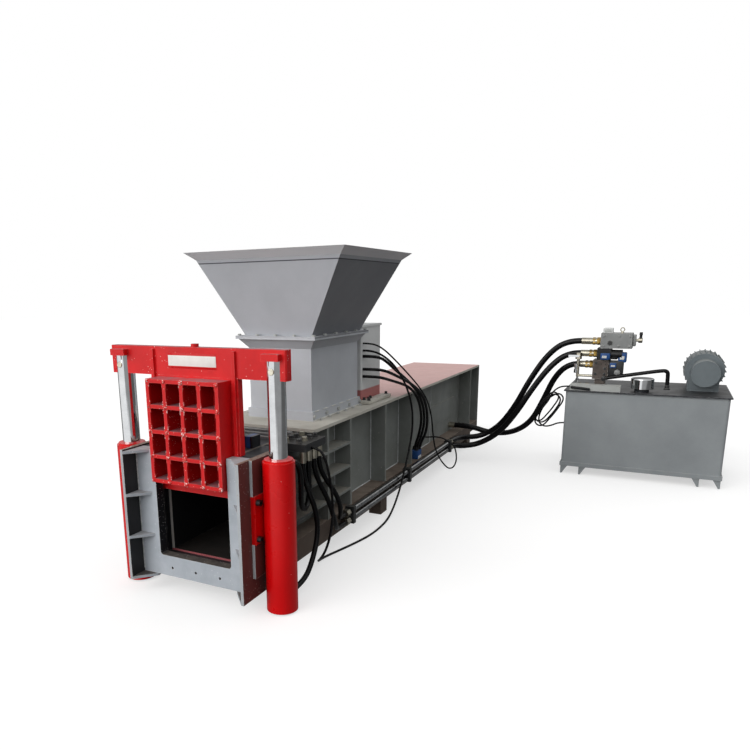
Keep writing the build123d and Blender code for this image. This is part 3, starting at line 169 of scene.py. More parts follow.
sky_direction = sky.nodes.new("ShaderNodeTexCoord").outputs["Generated"]
toward_x, toward_y, toward_z = add_node(sky, "ShaderNodeSeparateXYZ", i0=sky_direction).outputs
sky_path = sky.nodes.new("ShaderNodeLightPath").outputs
fill = math_node(sky, "MULTIPLY", ranged(sky, toward_z, -0.05, 0.7, SKY_AT_HORIZON, SKY_ABOVE),
                 ranged(sky, toward_x, -0.7, 0.8, 0.95, 1.12))
room = math_node(sky, "MULTIPLY", ranged(sky, toward_x, 0.3, 0.62, 1.0, 0.25),
                 ranged(sky, toward_y, -0.3, 0.02, 1.0, 0.3))
room = math_node(sky, "MAXIMUM", room, ranged(sky, toward_z, 0.1, 0.26, 0.0, 1.0))
mirrored = math_node(sky, "MAXIMUM", sky_path["Is Glossy Ray"], sky_path["Is Transmission Ray"])
lit_or_mirrored = sky_choose(mirrored, sky_light(Strength=fill), sky_light(Strength=room))
seen_sky = sky_choose(sky_path["Is Camera Ray"], lit_or_mirrored, sky_light(Color=WHITE))
add_node(sky, "ShaderNodeOutputWorld", Surface=seen_sky)
print("sky from", SKY_AT_HORIZON, "at the horizon to", SKY_ABOVE, "above")

# %% [markdown]
# The floor is pale for the camera and keeps the machine's shadow. For the light that bounces it is darker,
# as a workshop floor is, or the undersides of the hopper would shine. A chrome rod that is seen from above
# mirrors the floor and not the sky, so in reflections the floor in front is white as well.

# %% Floor
FLOOR_SEEN = 0.5
FLOOR_BOUNCED = 0.08
FLOOR_EXTRA = 0.06
bpy.ops.mesh.primitive_plane_add(size=60.0, location=(0.0, 0.0, -0.001))
floor = bpy.context.object
floor.name = "floor"
floor_paint, floor_tree, floor_shader = new_material("floor_white")
floor_shader.inputs["Roughness"].default_value = 0.9
floor_shader.inputs["Specular IOR Level"].default_value = 0.0
floor_path = floor_tree.nodes.new("ShaderNodeLightPath").outputs
floor_seen = floor_path["Is Camera Ray"]
floor_tone = ranged(floor_tree, floor_seen, 0.0, 1.0, FLOOR_BOUNCED, FLOOR_SEEN)
floor_tree.links.new(floor_tone, floor_shader.inputs["Base Color"])
floor_place = add_node(floor_tree, "ShaderNodeSeparateXYZ", i0=here(floor_tree)).outputs
floor_front = math_node(floor_tree, "MULTIPLY", ranged(floor_tree, floor_place["X"], 0.9, 1.9, 0.9, 0.25),
                        ranged(floor_tree, floor_place["Y"], -1.1, -0.2, 1.0, 0.15))
floor_mirrored = math_node(floor_tree, "MULTIPLY", floor_front, floor_path["Is Glossy Ray"])
floor_lift = math_node(floor_tree, "MULTIPLY", floor_seen, 1.0 - FLOOR_SEEN + FLOOR_EXTRA)
floor_glow = math_node(floor_tree, "ADD", floor_lift, floor_mirrored)
floor_shader.inputs["Emission Color"].default_value = WHITE
floor_tree.links.new(floor_glow, floor_shader.inputs["Emission Strength"])
floor.data.materials.append(floor_paint)
print("floor tone", FLOOR_SEEN, "for the camera and", FLOOR_BOUNCED, "for other light")

# %% Sun from the front left
SUN_FROM = Vector((-0.40, -0.857, 0.326))
sun_data = bpy.data.lights.new("sun", "SUN")
sun_data.energy = 2.5
sun_data.angle = math.radians(60.0)
sun_data.color = (1.0, 0.99, 0.97)
sun = bpy.data.objects.new("sun", sun_data)
sun.rotation_euler = SUN_FROM.to_track_quat("Z", "Y").to_euler()
bpy.context.collection.objects.link(sun)
print("sun energy", sun_data.energy)

# %% [markdown]
# ## Materials: shared effects first
#
# Every paint on this machine shows the same four things: the colour drifts in large soft patches, dust lies
# on what faces up, edges are rubbed to lighter metal, and small hard dots of weld spatter stick to it. Each
# is a node group that is built once. A group gives out a mask from 0 to 1, and the material decides what
# that mask mixes. All of them read Object coordinates, because every piece of the model shares one frame.

# %% A helper that makes node groups
def new_group(name, sockets_in, sockets_out):
    """A shader node group with numbers going in and masks coming out, and its two end nodes."""
    group = bpy.data.node_groups.new(name, "ShaderNodeTree")
    for label, value in sockets_in.items():
        socket = group.interface.new_socket(name=label, in_out="INPUT", socket_type="NodeSocketFloat")
        socket.default_value = value
    for label in sockets_out:
        group.interface.new_socket(name=label, in_out="OUTPUT", socket_type="NodeSocketFloat")
    return group, group.nodes.new("NodeGroupInput"), group.nodes.new("NodeGroupOutput")


print("group helper ready")

# %% [markdown]
# ### Patches, dust, spatter and edge wear
#
# Patches are a soft noise. Dust takes the upward part of the surface's normal and breaks it up with noise.
# Spatter is the smallest distance to scattered points, kept only in some cells. Edge wear compares the
# surface's normal with the same normal rounded by a Bevel node: they differ only near an edge.

# %% Patches: soft drift of a colour
patches, ends_in, ends_out = new_group("soft_patches", {"Scale": 4.0, "Detail": 5.0}, ["Mask"])
cloud = noise(patches, ends_in.outputs["Scale"], ends_in.outputs["Detail"], Roughness=0.62)
patches.links.new(ranged(patches, cloud, 0.32, 0.68, 0.0, 1.0), ends_out.inputs["Mask"])

# %% Dust: what lies on upward faces
dust, ends_in, ends_out = new_group("lying_dust", {"Scale": 14.0, "Amount": 1.0}, ["Mask"])
surface_normal = dust.nodes.new("ShaderNodeNewGeometry").outputs["Normal"]
height = add_node(dust, "ShaderNodeSeparateXYZ", Vector=surface_normal).outputs["Z"]
grains = noise(dust, ends_in.outputs["Scale"], 8.0, Roughness=0.7)
lying = math_node(dust, "MULTIPLY", ranged(dust, height, 0.35, 0.95, 0.0, 1.0),
                  ranged(dust, grains, 0.35, 0.62, 0.25, 1.0))
dust_mask = math_node(dust, "MULTIPLY", lying, ends_in.outputs["Amount"], clamp=True)
dust.links.new(dust_mask, ends_out.inputs["Mask"])

# %% Spatter: small round dots from welding
spatter, ends_in, ends_out = new_group("weld_spatter", {"Scale": 60.0, "Size": 0.22, "Share": 0.3}, ["Mask"])
cells = add_node(spatter, "ShaderNodeTexVoronoi", Vector=here(spatter), Scale=ends_in.outputs["Scale"])
cell_pick = add_node(spatter, "ShaderNodeSeparateColor", Color=cells.outputs["Color"]).outputs[0]
where_share = ranged(spatter, noise(spatter, 5.0, 2.0), 0.35, 0.65, 0.2, 1.6)
kept_share = math_node(spatter, "MULTIPLY", where_share, ends_in.outputs["Share"])
kept = math_node(spatter, "LESS_THAN", cell_pick, kept_share)
dot_size = math_node(spatter, "MULTIPLY", cell_pick, 0.6)
dot_edge = math_node(spatter, "ADD", dot_size, ends_in.outputs["Size"])
inside_dot = math_node(spatter, "LESS_THAN", cells.outputs["Distance"], dot_edge)
spatter.links.new(math_node(spatter, "MULTIPLY", kept, inside_dot), ends_out.inputs["Mask"])

# %% Edge wear: where a rounded normal leaves the true one
wear, ends_in, ends_out = new_group("edge_wear", {"Scale": 30.0, "Amount": 1.0}, ["Mask"])
true_normal = wear.nodes.new("ShaderNodeNewGeometry").outputs["Normal"]
soft_normal = wear.nodes.new("ShaderNodeBevel")
soft_normal.samples = 4
soft_normal.inputs["Radius"].default_value = 0.004
agree = add_node(wear, "ShaderNodeVectorMath", {"operation": "DOT_PRODUCT"}, i0=true_normal,
                 i1=soft_normal.outputs[0]).outputs["Value"]
near_edge = ranged(wear, agree, 0.985, 0.86, 0.0, 1.0)
chips = noise(wear, ends_in.outputs["Scale"], 7.0, Roughness=0.75)
worn = math_node(wear, "MULTIPLY", near_edge, ranged(wear, chips, 0.42, 0.58, 0.0, 1.0))
wear_mask = math_node(wear, "MULTIPLY", worn, ends_in.outputs["Amount"], clamp=True)
wear.links.new(wear_mask, ends_out.inputs["Mask"])
print("groups:", [group.name for group in bpy.data.node_groups if group.type == "SHADER"])

# %% [markdown]
# ### One recipe for painted steel
#
# Each paint differs only in its colours and in how much of each effect it shows, so one function builds
# them. The base colour is mixed in layers, from the paint up: drift, spatter, worn edges, dust. The dots and
# the slight orange peel of sprayed paint also feed a Bump node, so that they catch the light.

# %% The painted steel recipe
def srgb(code):
    """A colour as picked from a screen, such as "B4BCC4", as the linear numbers that Blender mixes."""
    parts = [int(code[i:i + 2], 16) / 255.0 for i in (0, 2, 4)]
    return tuple(p / 12.92 if p <= 0.04045 else ((p + 0.055) / 1.055) ** 2.4 for p in parts) + (1.0,)


def layer(tree, mask, below, above):
    """Mixes one colour over another by a mask."""
    node = add_node(tree, "ShaderNodeMix", {"data_type": "RGBA"}, Factor=mask)
    for socket, value in ((node.inputs[6], below), (node.inputs[7], above)):
        if isinstance(value, bpy.types.NodeSocket):
            tree.links.new(value, socket)
        else:
            socket.default_value = value
    return node.outputs[2]


def use_group(tree, group, **values):
    """Places a group in a material with its own numbers and gives its mask."""
    node = tree.nodes.new("ShaderNodeGroup")
    node.node_tree = group
    for label, value in values.items():
        node.inputs[label].default_value = value
    return node.outputs["Mask"]


def surface(tree, shader, shade, rough, relief, strength, distance):
    """Gives a shader its colour, its roughness and its relief."""
    tree.links.new(shade, shader.inputs["Base Color"])
    tree.links.new(rough, shader.inputs["Roughness"])
    bump = add_node(tree, "ShaderNodeBump", Height=relief, Strength=strength, Distance=distance)
    tree.links.new(bump.outputs[0], shader.inputs["Normal"])


def painted(name, colour, drift_colour, roughness, drift_scale, dots=None, worn=None, dusty=None, coat=0.0,
            peel=0.12, zones=None):
    """Painted steel. dots are (size, colour, share, scale); worn and dusty are (amount, colour).

    zones is a function that may repaint some faces before the wear goes on.
    """
    material, tree, shader = new_material(name)
    shade = layer(tree, use_group(tree, patches, Scale=drift_scale), srgb(colour), srgb(drift_colour))
    if zones:
        shade = zones(tree, shade)
    relief = math_node(tree, "MULTIPLY", noise(tree, 160.0, 3.0), peel)
    if dots:
        size, dots_colour, share, dots_scale = dots
        mask = use_group(tree, spatter, Scale=dots_scale, Size=size, Share=share)
        shade = layer(tree, mask, shade, srgb(dots_colour))
        relief = math_node(tree, "ADD", relief, mask)
    for group, effect in ((wear, worn), (dust, dusty)):
        if effect:
            shade = layer(tree, use_group(tree, group, Amount=effect[0]), shade, srgb(effect[1]))
    smear = use_group(tree, patches, Scale=9.0)
    rough = ranged(tree, smear, 0.0, 1.0, roughness - 0.08, min(roughness + 0.1, 1.0))
    surface(tree, shader, shade, rough, relief, 0.35, 0.0012)
    shader.inputs["Specular IOR Level"].default_value = 0.25
    if coat:
        shader.inputs["Coat Weight"].default_value = coat
        shader.inputs["Coat Roughness"].default_value = 0.12
    return material


def finish_nodes(material, *names):
    """Gives every material slot of these nodes of the model this finish."""
    for name in names:
        for place_for_finish in nodes[name].material_slots:
            place_for_finish.material = material


print("recipe ready, sample colour", srgb("B4BCC4"))

# %% [markdown]
# ## Finishes for the solid model's own pieces
#
# Each piece of the model now gets its paint. The front frame is light grey and covered in spatter, the gate
# and its cylinders are red, the body is a dull dark grey with dusty ledges, and the hopper a smoother grey.
# Where one piece carries two colours, as the side flanges do, a small function repaints the faces that look
# a certain way, by the surface's normal. Such functions also paint light and shade into the colour: painted
# shade in the mouth, the chamber, the grid's cells, the body's front bays and top, and painted light and
# shade on the hopper. The near-black paint of the pieces inside the chamber is painted shade too. Under
# another light those tones are better left out.

# %% Masks by the way a face looks and by its place
def axis_of(tree, source, axis):
    """One coordinate of the surface's normal or of its place in metres."""
    if source == "normal":
        vector = tree.nodes.new("ShaderNodeNewGeometry").outputs["Normal"]
    else:
        vector = here(tree)
    return add_node(tree, "ShaderNodeSeparateXYZ", Vector=vector).outputs[axis]


def between(tree, value, low, high):
    """A mask that rises from 0 at low to 1 at high."""
    return ranged(tree, value, low, high, 0.0, 1.0)


def facing(tree, axis, low, high):
    """A mask by one coordinate of the surface's normal."""
    return between(tree, axis_of(tree, "normal", axis), low, high)


def placed(tree, axis, low, high):
    """A mask by one coordinate of the place."""
    return between(tree, axis_of(tree, "place", axis), low, high)


def off_middle(tree, axis, middle=0.0):
    """How far a place lies from a middle value, along one axis."""
    return math_node(tree, "ABSOLUTE", math_node(tree, "SUBTRACT", axis_of(tree, "place", axis), middle))


def outward(tree, sign):
    """How much a face looks away from the machine's middle plane, or towards it where sign is -1."""
    away = both(tree, axis_of(tree, "normal", "X"), math_node(tree, "SIGN", axis_of(tree, "place", "X")))
    return both(tree, away, sign)


def both(tree, first, second):
    """Two masks or numbers multiplied."""
    return math_node(tree, "MULTIPLY", first, second)


print("zone helpers ready")

# %% Front frame: light grey with weld spatter, painted shade inside the mouth
def mouth_zones(tree, shade):
    """Painted shade on the faces that line the mouth and on its sill."""
    near_middle = between(tree, off_middle(tree, "X"), 0.179, 0.175)
    lining = both(tree, between(tree, outward(tree, -1.0), 0.3, 0.8), near_middle)
    sill = both(tree, facing(tree, "Z", 0.3, 0.8), placed(tree, "Z", 0.19, 0.18))
    # painted shade: the faces that line the mouth and the sill go near black
    return layer(tree, math_node(tree, "MAXIMUM", lining, sill), shade, srgb("2B2C2F"))


frame_paint = painted("frame_paint", "B8BEC6", "A2A9B1", 0.5, 7.0, dots=(0.16, "DDE0E0", 0.14, 150.0),
                      worn=(0.7, "DEDCD6"), dusty=(0.55, "8A8078"), peel=0.3, zones=mouth_zones)
finish_nodes(frame_paint, "front_plate", "front_gussets")

# %% Side flanges: maroon outside, charcoal inside, grey edges, brown top
def flange_zones(tree, shade):
    """Maroon outside, charcoal inside, brown on top."""
    shade = layer(tree, between(tree, outward(tree, 1.0), 0.6, 0.9), shade, srgb("5E3734"))
    shade = layer(tree, between(tree, outward(tree, -1.0), 0.6, 0.9), shade, srgb("2A2A2C"))
    return layer(tree, facing(tree, "Z", 0.6, 0.9), shade, srgb("7A6358"))


flange_paint = painted("flange_paint", "BABFC4", "A0A4A9", 0.48, 7.0, dots=(0.16, "A8A09A", 0.1, 130.0),
                       worn=(0.8, "D0C8C0"), dusty=(0.35, "8A7466"), peel=0.25, zones=flange_zones)
finish_nodes(flange_paint, "side_flanges")
print("front frame painted")

# %% Body: dull grey steel with painted shade in the chamber, the front bays and on top, pale front edges
def body_zones(tree, shade):
    """Painted shade in the front bays, on the chamber's walls and undersides and on the top; pale front
    edges.
    """
    # painted shade: the front bays are darkened
    front_bay_painted_shade = both(tree, placed(tree, "Y", 0.56, 0.46), 0.75)
    shade = layer(tree, front_bay_painted_shade, shade, srgb("35373A"))
    near_middle = between(tree, off_middle(tree, "X"), 0.19, 0.185)
    # painted shade: the chamber's side walls go near black
    inside = both(tree, between(tree, outward(tree, -1.0), 0.6, 0.9), near_middle)
    shade = layer(tree, inside, shade, srgb("1B1B1D"))
    # painted shade on the undersides in the chamber
    shade = layer(tree, both(tree, facing(tree, "Z", -0.6, -0.9), near_middle), shade, srgb("161617"))
    # painted shade on the upward faces at the body's top
    top_painted_shade = both(tree, facing(tree, "Z", 0.6, 0.9), placed(tree, "Z", 0.585, 0.59))
    shade = layer(tree, top_painted_shade, shade, srgb("1E1F20"))
    front_edges = both(tree, facing(tree, "Y", -0.6, -0.9), placed(tree, "Y", 0.14, 0.10))
    return layer(tree, front_edges, shade, srgb("B4B0AC"))


body_paint = painted("body_paint", "868A88", "70736F", 0.62, 3.0, dots=(0.14, "A8A8A2", 0.04, 60.0),
                     worn=(0.8, "ACAAA2"), dusty=(0.7, "8A8378"), peel=0.15, zones=body_zones)
# Near-black painted shade for the chamber's roof, frame, guides and platen, which sit in the dark cavity.
cavity_shade_paint = painted("cavity_shade_paint", "232427", "2E2F33", 0.5, 6.0, worn=(0.5, "8C8C8C"),
                     dusty=(0.15, "45413D"), peel=0.15)
rail_paint = painted("rail_paint", "685D55", "564B43", 0.6, 3.5, worn=(0.8, "8D857A"),
                     dusty=(0.9, "7D7268"), peel=0.2)
finish_nodes(body_paint, "body_walls", "bulkheads", "body_ribs", "body_shelves")
finish_nodes(cavity_shade_paint, "chamber_roof", "chamber_frame", "gate_guides", "platen")
finish_nodes(rail_paint, "body_rails", "foot_blocks")


# %% Chamber floor: rubbed dark steel, red primer left on its front edge
def floor_zones(tree, shade):
    """Primer on the edge that looks forwards."""
    return layer(tree, facing(tree, "Y", -0.6, -0.9), shade, srgb("A0555A"))


chamber_paint = painted("chamber_paint", "2C2826", "1E1D1D", 0.45, 8.0, worn=(0.8, "8D7A74"),
                        dusty=(0.25, "3A3633"), peel=0.15, zones=floor_zones)
finish_nodes(chamber_paint, "chamber_floor")


# %% Deck: brownish grey at the front, pink primer behind the neck, light edges
def deck_zones(tree, shade):
    """Pink primer on the rear deck's upper face."""
    rear_top = both(tree, facing(tree, "Z", 0.5, 0.9), placed(tree, "Y", 1.44, 1.56))
    return layer(tree, rear_top, shade, srgb("CDA8A5"))


deck_paint = painted("deck_paint", "CAC8BF", "B3B0A6", 0.6, 5.0, dots=(0.14, "C9C6BE", 0.08, 60.0),
                     worn=(1.0, "C9C5BA"), dusty=(0.2, "8E8478"), peel=0.2, zones=deck_zones)
finish_nodes(deck_paint, "top_deck")
print("body painted")

# %% Gate: deep red with pale spatter, mauve dust on what lies flat, painted shade in the cells
def cell_zones(tree, shade):
    """Painted shade: a darker red down in the cells of the grid."""
    # painted shade down in the grid's cells
    cell_painted_shade = both(tree, placed(tree, "Y", -0.021, -0.008), between(tree, off_middle(tree, "X"), 0.160, 0.158))
    cell_painted_shade = both(tree, cell_painted_shade, between(tree, off_middle(tree, "Z", GRID_MIDDLE_Z), 0.192, 0.190))
    cell_painted_shade = both(tree, cell_painted_shade, placed(tree, "Y", 0.0535, 0.0525))
    return layer(tree, cell_painted_shade, shade, srgb("A4080B"))


GRID_MIDDLE_Z = 0.675
gate_paint = painted("gate_paint", "D9171B", "C01014", 0.4, 6.0, dots=(0.18, "EBC4BE", 0.1, 150.0),
                     worn=(0.55, "E0746E"), dusty=(0.95, "85767C"), coat=0.1, peel=0.3, zones=cell_zones)
finish_nodes(gate_paint, "crossbeam", "gate_plate", "gate_grid")

# %% Lift barrels and brackets: glossier red
barrel_paint = painted("barrel_paint", "DC060B", "CC0408", 0.3, 3.0, dots=(0.14, "E8C8C4", 0.015, 120.0),
                       worn=(0.3, "E07A70"), dusty=(0.15, "9E5A56"), coat=0.25, peel=0.08)
finish_nodes(barrel_paint, "lift_barrels", "barrel_brackets", "main_barrel", "lift_glands")
print("red paints done")


# %% Hopper and neck: smooth mid grey with painted light and shade on the hopper, the box behind lighter over pink primer
def rear_box_zones(tree, shade):
    """Pink primer along the foot of the box."""
    return layer(tree, placed(tree, "Z", 0.684, 0.678), shade, srgb("C07A78"))


HOPPER_FOLD = round(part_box("hopper")[1][2], 4) - 0.049


def hopper_zones(tree, shade):
    """Painted light on the lip's underside, painted shade along its fold and on the +X wall."""
    # painted light on the lip's underside
    shade = layer(tree, facing(tree, "Z", -0.6, -0.7), shade, srgb("F2F4F8"))
    # painted shade along the lip's fold
    from_fold = off_middle(tree, "Z", HOPPER_FOLD)
    shade = layer(tree, between(tree, from_fold, 0.0028, 0.0018), shade, srgb("4A4B50"))
    # painted shade on the +X wall
    wall_painted_shade = both(tree, facing(tree, "X", 0.5, 0.6), placed(tree, "Z", HOPPER_FOLD, HOPPER_FOLD - 0.002))
    return layer(tree, both(tree, wall_painted_shade, 0.7), shade, srgb("6E6F74"))


hopper_paint = painted("hopper_paint", "B6B9BF", "A8ABB1", 0.5, 2.2, worn=(0.8, "C4C6C8"),
                       dusty=(0.1, "A29E98"), peel=0.05, zones=hopper_zones)
neck_paint = painted("neck_paint", "C2C6CC", "B2B6BC", 0.5, 2.5, worn=(0.8, "D6D8DA"),
                     dusty=(0.1, "A29E98"), peel=0.05)
rear_box_paint = painted("rear_box_paint", "E8EAEA", "D8DADA", 0.5, 3.0, worn=(0.6, "D6D8DA"),
                         dusty=(0.2, "A29E98"), peel=0.05, zones=rear_box_zones)
finish_nodes(hopper_paint, "hopper")
finish_nodes(neck_paint, "neck", "neck_strip")
finish_nodes(rear_box_paint, "rear_box")

# %% Power unit: satin tank, light bar, phosphated blocks, black coils
tank_paint = painted("tank_paint", "979C9F", "888D90", 0.42, 3.0, worn=(0.7, "B4B6B6"),
                     dusty=(0.35, "989690"), peel=0.1)
lid_paint = painted("lid_paint", "303237", "26282C", 0.42, 6.0, worn=(0.8, "A2A4A4"),
                    dusty=(0.25, "6E6C66"), peel=0.1)
bar_paint = painted("bar_paint", "B5B8B6", "A3A6A4", 0.45, 5.0, worn=(0.5, "D5D6D4"), dusty=(0.4, "9C9A94"),
                    peel=0.08)
block_paint = painted("block_paint", "8E9090", "7A7C7C", 0.38, 12.0, worn=(0.8, "CFCFCB"),
                      dusty=(0.3, "8E8C86"), peel=0.1)
dark_block_paint = painted("dark_block_paint", "343536", "27282A", 0.36, 14.0, worn=(0.7, "8E8E8A"),
                           dusty=(0.35, "5E5A54"))
motor_paint = painted("motor_paint", "6C7478", "5E666A", 0.5, 6.0, worn=(0.6, "9EA4A4"),
                      dusty=(0.4, "8A8880"), peel=0.2)
coil_plastic = painted("coil_plastic", "141416", "1E1F22", 0.4, 20.0, dusty=(0.3, "55524C"), peel=0.15)
blue_plastic = painted("blue_plastic", "27528F", "1F4478", 0.42, 20.0, dusty=(0.3, "7C828C"), peel=0.1)
white_plastic = painted("white_plastic", "D8DADA", "C2C4C4", 0.45, 20.0, worn=(0.3, "9A9A98"),
                        dusty=(0.2, "A09E98"), peel=0.06)
finish_nodes(tank_paint, "tank")
finish_nodes(lid_paint, "tank_lid")
finish_nodes(bar_paint, "cover_bar")
finish_nodes(block_paint, "valve_block")
cast_paint = painted("cast_paint", "625954", "443D39", 0.4, 14.0, dots=(0.2, "2A2624", 0.2, 120.0),
                     worn=(1.0, "C6C2BC"), dusty=(0.2, "9A948C"), peel=0.2)
finish_nodes(cast_paint, "lower_manifold")
finish_nodes(dark_block_paint, "manifold", "pipe_clamps")
finish_nodes(motor_paint, "motor", "pump")
finish_nodes(coil_plastic, "solenoid_valves")
print("power unit painted")


# %% Limit switch: dark with a blue middle
def switch_zones(tree, shade):
    """A blue body between the switch's dark head and foot."""
    return layer(tree, between(tree, off_middle(tree, "X", 0.150), 0.0115, 0.0105), shade, srgb("27528F"))


switch_plastic = painted("switch_plastic", "26282C", "1B1C20", 0.4, 20.0, dusty=(0.3, "9A948C"), peel=0.04,
                         zones=switch_zones)
finish_nodes(switch_plastic, "limit_switch")
print("limit switch painted")

# %% [markdown]
# ### Bare metals
#
# Chrome, zinc and oiled steel have Metallic 1, and their look is in the roughness: fine scratches along the
# rods, a blotchy grey-yellow on zinc, and dark oil on the screws. The same drift group breaks them up.

# %% Bare metal recipe
def bare_metal(name, colour, drift_colour, roughness, scratch_scale=(40.0, 40.0, 40.0), scratch=0.1):
    """A metal whose roughness is broken by scratches that run the way the scale is small."""
    material, tree, shader = new_material(name)
    shader.inputs["Metallic"].default_value = 1.0
    shade = layer(tree, use_group(tree, patches, Scale=18.0), srgb(colour), srgb(drift_colour))
    shade = layer(tree, use_group(tree, dust, Amount=0.35), shade, srgb("6E6860"))
    lined = add_node(tree, "ShaderNodeMapping", Vector=here(tree), Scale=scratch_scale).outputs[0]
    lines = add_node(tree, "ShaderNodeTexNoise", Vector=lined, Scale=6.0, Detail=4.0).outputs[0]
    rough = ranged(tree, lines, 0.35, 0.65, roughness, roughness + scratch)
    surface(tree, shader, shade, rough, lines, 0.02, 0.0002)
    return material



chrome = bare_metal("chrome", "E6E8EA", "D4D6D8", 0.06, (90.0, 90.0, 4.0), 0.012)
zinc = bare_metal("zinc_plate", "C2BEAE", "9C978A", 0.28, scratch=0.2)
oiled_steel = bare_metal("oiled_steel", "4E4E50", "3A3A3C", 0.34, scratch=0.25)
brass = bare_metal("brass", "B79B58", "96793E", 0.25, scratch=0.2)
finish_nodes(chrome, "lift_rods", "ram_rod", "breather_cap", "cock_lever")
pipe_steel = bare_metal("pipe_steel", "A8AAAC", "77797B", 0.12, (40.0, 3.0, 40.0), 0.06)
finish_nodes(pipe_steel, "side_pipes")
finish_nodes(zinc, "rod_pins", "pipe_unions", "hose_ferrules", "gauge_cock")
finish_nodes(bar_paint, "neck_bolts")
finish_nodes(oiled_steel, "bracket_screws", "lift_pistons", "ram_piston", "main_gland", "motor_shaft")
print("bare metals done")

# %% [markdown]
# ## Hoses
#
# Each hose is a real length of stiff rubber: it leaves its fitting straight, bends under its own weight and
# lies on the floor before it rises to the next fitting. A smooth spline through a few control points makes
# that line. Its order is set after its points are added, because before that there is nothing to smooth,
# and its ends are pinned to the fittings. The rubber gets a fine grain and a little dust.

# %% Rubber
rubber, rubber_tree, rubber_shader = new_material("hose_rubber")
rubber_shade = layer(rubber_tree, use_group(rubber_tree, patches, Scale=9.0), srgb("08080A"), srgb("101012"))
rubber_shade = layer(rubber_tree, use_group(rubber_tree, dust, Amount=0.15), rubber_shade, srgb("3E3A36"))
rubber_grain = noise(rubber_tree, 260.0, 2.0)
rubber_rough = ranged(rubber_tree, rubber_grain, 0.3, 0.7, 0.2, 0.34)
surface(rubber_tree, rubber_shader, rubber_shade, rubber_rough, rubber_grain, 0.2, 0.0006)
rubber_shader.inputs["Specular IOR Level"].default_value = 0.18
print("rubber ready")


# %% A hose from its control points
def hose_curve(name, points, diameter):
    """A round tube along a smooth spline whose control points are the route's corners, in metres."""
    data = bpy.data.curves.new(name, "CURVE")
    data.dimensions = "3D"
    data.resolution_u = 12
    data.bevel_depth = diameter / 2.0
    data.bevel_resolution = 5
    data.use_fill_caps = True
    spline = data.splines.new("NURBS")
    spline.points.add(len(points) - 1)
    for control, spot in zip(spline.points, points):
        control.co = (*spot, 1.0)
    spline.order_u = 3
    spline.use_endpoint_u = True
    curve = bpy.data.objects.new(name, data)
    bpy.context.collection.objects.link(curve)
    data.materials.append(rubber)
    return curve


def metres(route):
    """A route given in millimetres, in metres."""
    return [tuple(value / 1000.0 for value in spot) for spot in route]


UNIT_HOSE_D = 0.038
SMALL_HOSE_D = 0.022
HOSES = {
    "unit_hose_top": (UNIT_HOSE_D, 1.305, [
        (1080, 2690, 858), (990, 2690, 858), (876, 2692, 770), (766, 2700, 590),
        (678, 2715, 404), (568, 2735, 243), (440, 2735, 160), (336, 2670, 158),
        (296, 2570, 162), (296, 2479, 162)]),
    "unit_hose_middle": (UNIT_HOSE_D, 1.214, [
        (1080, 2690, 780), (1000, 2690, 780), (896, 2660, 690), (790, 2645, 530),
        (700, 2640, 366), (588, 2648, 215), (450, 2660, 121), (342, 2620, 103),
        (296, 2545, 121), (296, 2479, 121)]),
    "unit_hose_low": (UNIT_HOSE_D, 1.141, [
        (1080, 2690, 710), (1012, 2690, 710), (920, 2735, 614), (853, 2765, 448),
        (776, 2785, 282), (648, 2800, 191), (490, 2804, 176), (352, 2800, 215),
        (230.5, 2800, 215)]),
    "barrel_hose_low": (SMALL_HOSE_D, 0.609, [
        (300, 353, 510), (300, 353, 455), (328, 354, 381), (348, 374, 296),
        (350, 380, 200), (356, 322, 112), (354, 250, 44), (354, 156.5, 44)]),
    "barrel_hose_high": (SMALL_HOSE_D, 0.566, [
        (300, 400, 510), (300, 400, 440), (300, 403, 382), (304, 384, 336),
        (315, 340, 318), (332, 285, 339), (346, 248, 388), (354, 238, 445),
        (354, 234, 500), (354, 216, 543), (354, 190, 560), (354, 156.5, 560)]),
    "pipe_hose_low": (SMALL_HOSE_D, 0.572, [
        (300, 447, 510), (300, 447, 462), (314, 472, 390), (338, 500, 316),
        (348, 530, 236), (334, 586, 160), (296, 668, 121), (296, 758, 121)]),
    "pipe_hose_high": (SMALL_HOSE_D, 0.494, [
        (300, 494, 510), (300, 494, 465), (316, 520, 400), (342, 556, 338),
        (352, 592, 270), (336, 630, 205), (296, 688, 162), (296, 758, 162)]),
}
for hose_name, (hose_diameter, hose_length, hose_route) in HOSES.items():
    hose_points = metres(hose_route)
    hose = hose_curve(hose_name + "_rubber", hose_points, hose_diameter)
    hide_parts(hose_name)
    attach(hose, "press")
    print(hose_name, "has", len(hose_points), "control points")

# %% [markdown]
# ### Electric cables
#
# Three thick cables leave the box behind the neck, run down over the deck's edge in a bundle and end in a
# connector on the rail. A thin one hangs beside them in a loop, a signal cable lies along the floor to the
# manifold, and a spare length hangs as a hank beside the oil tank. They are limper than the hoses, so they
# take tighter bends.

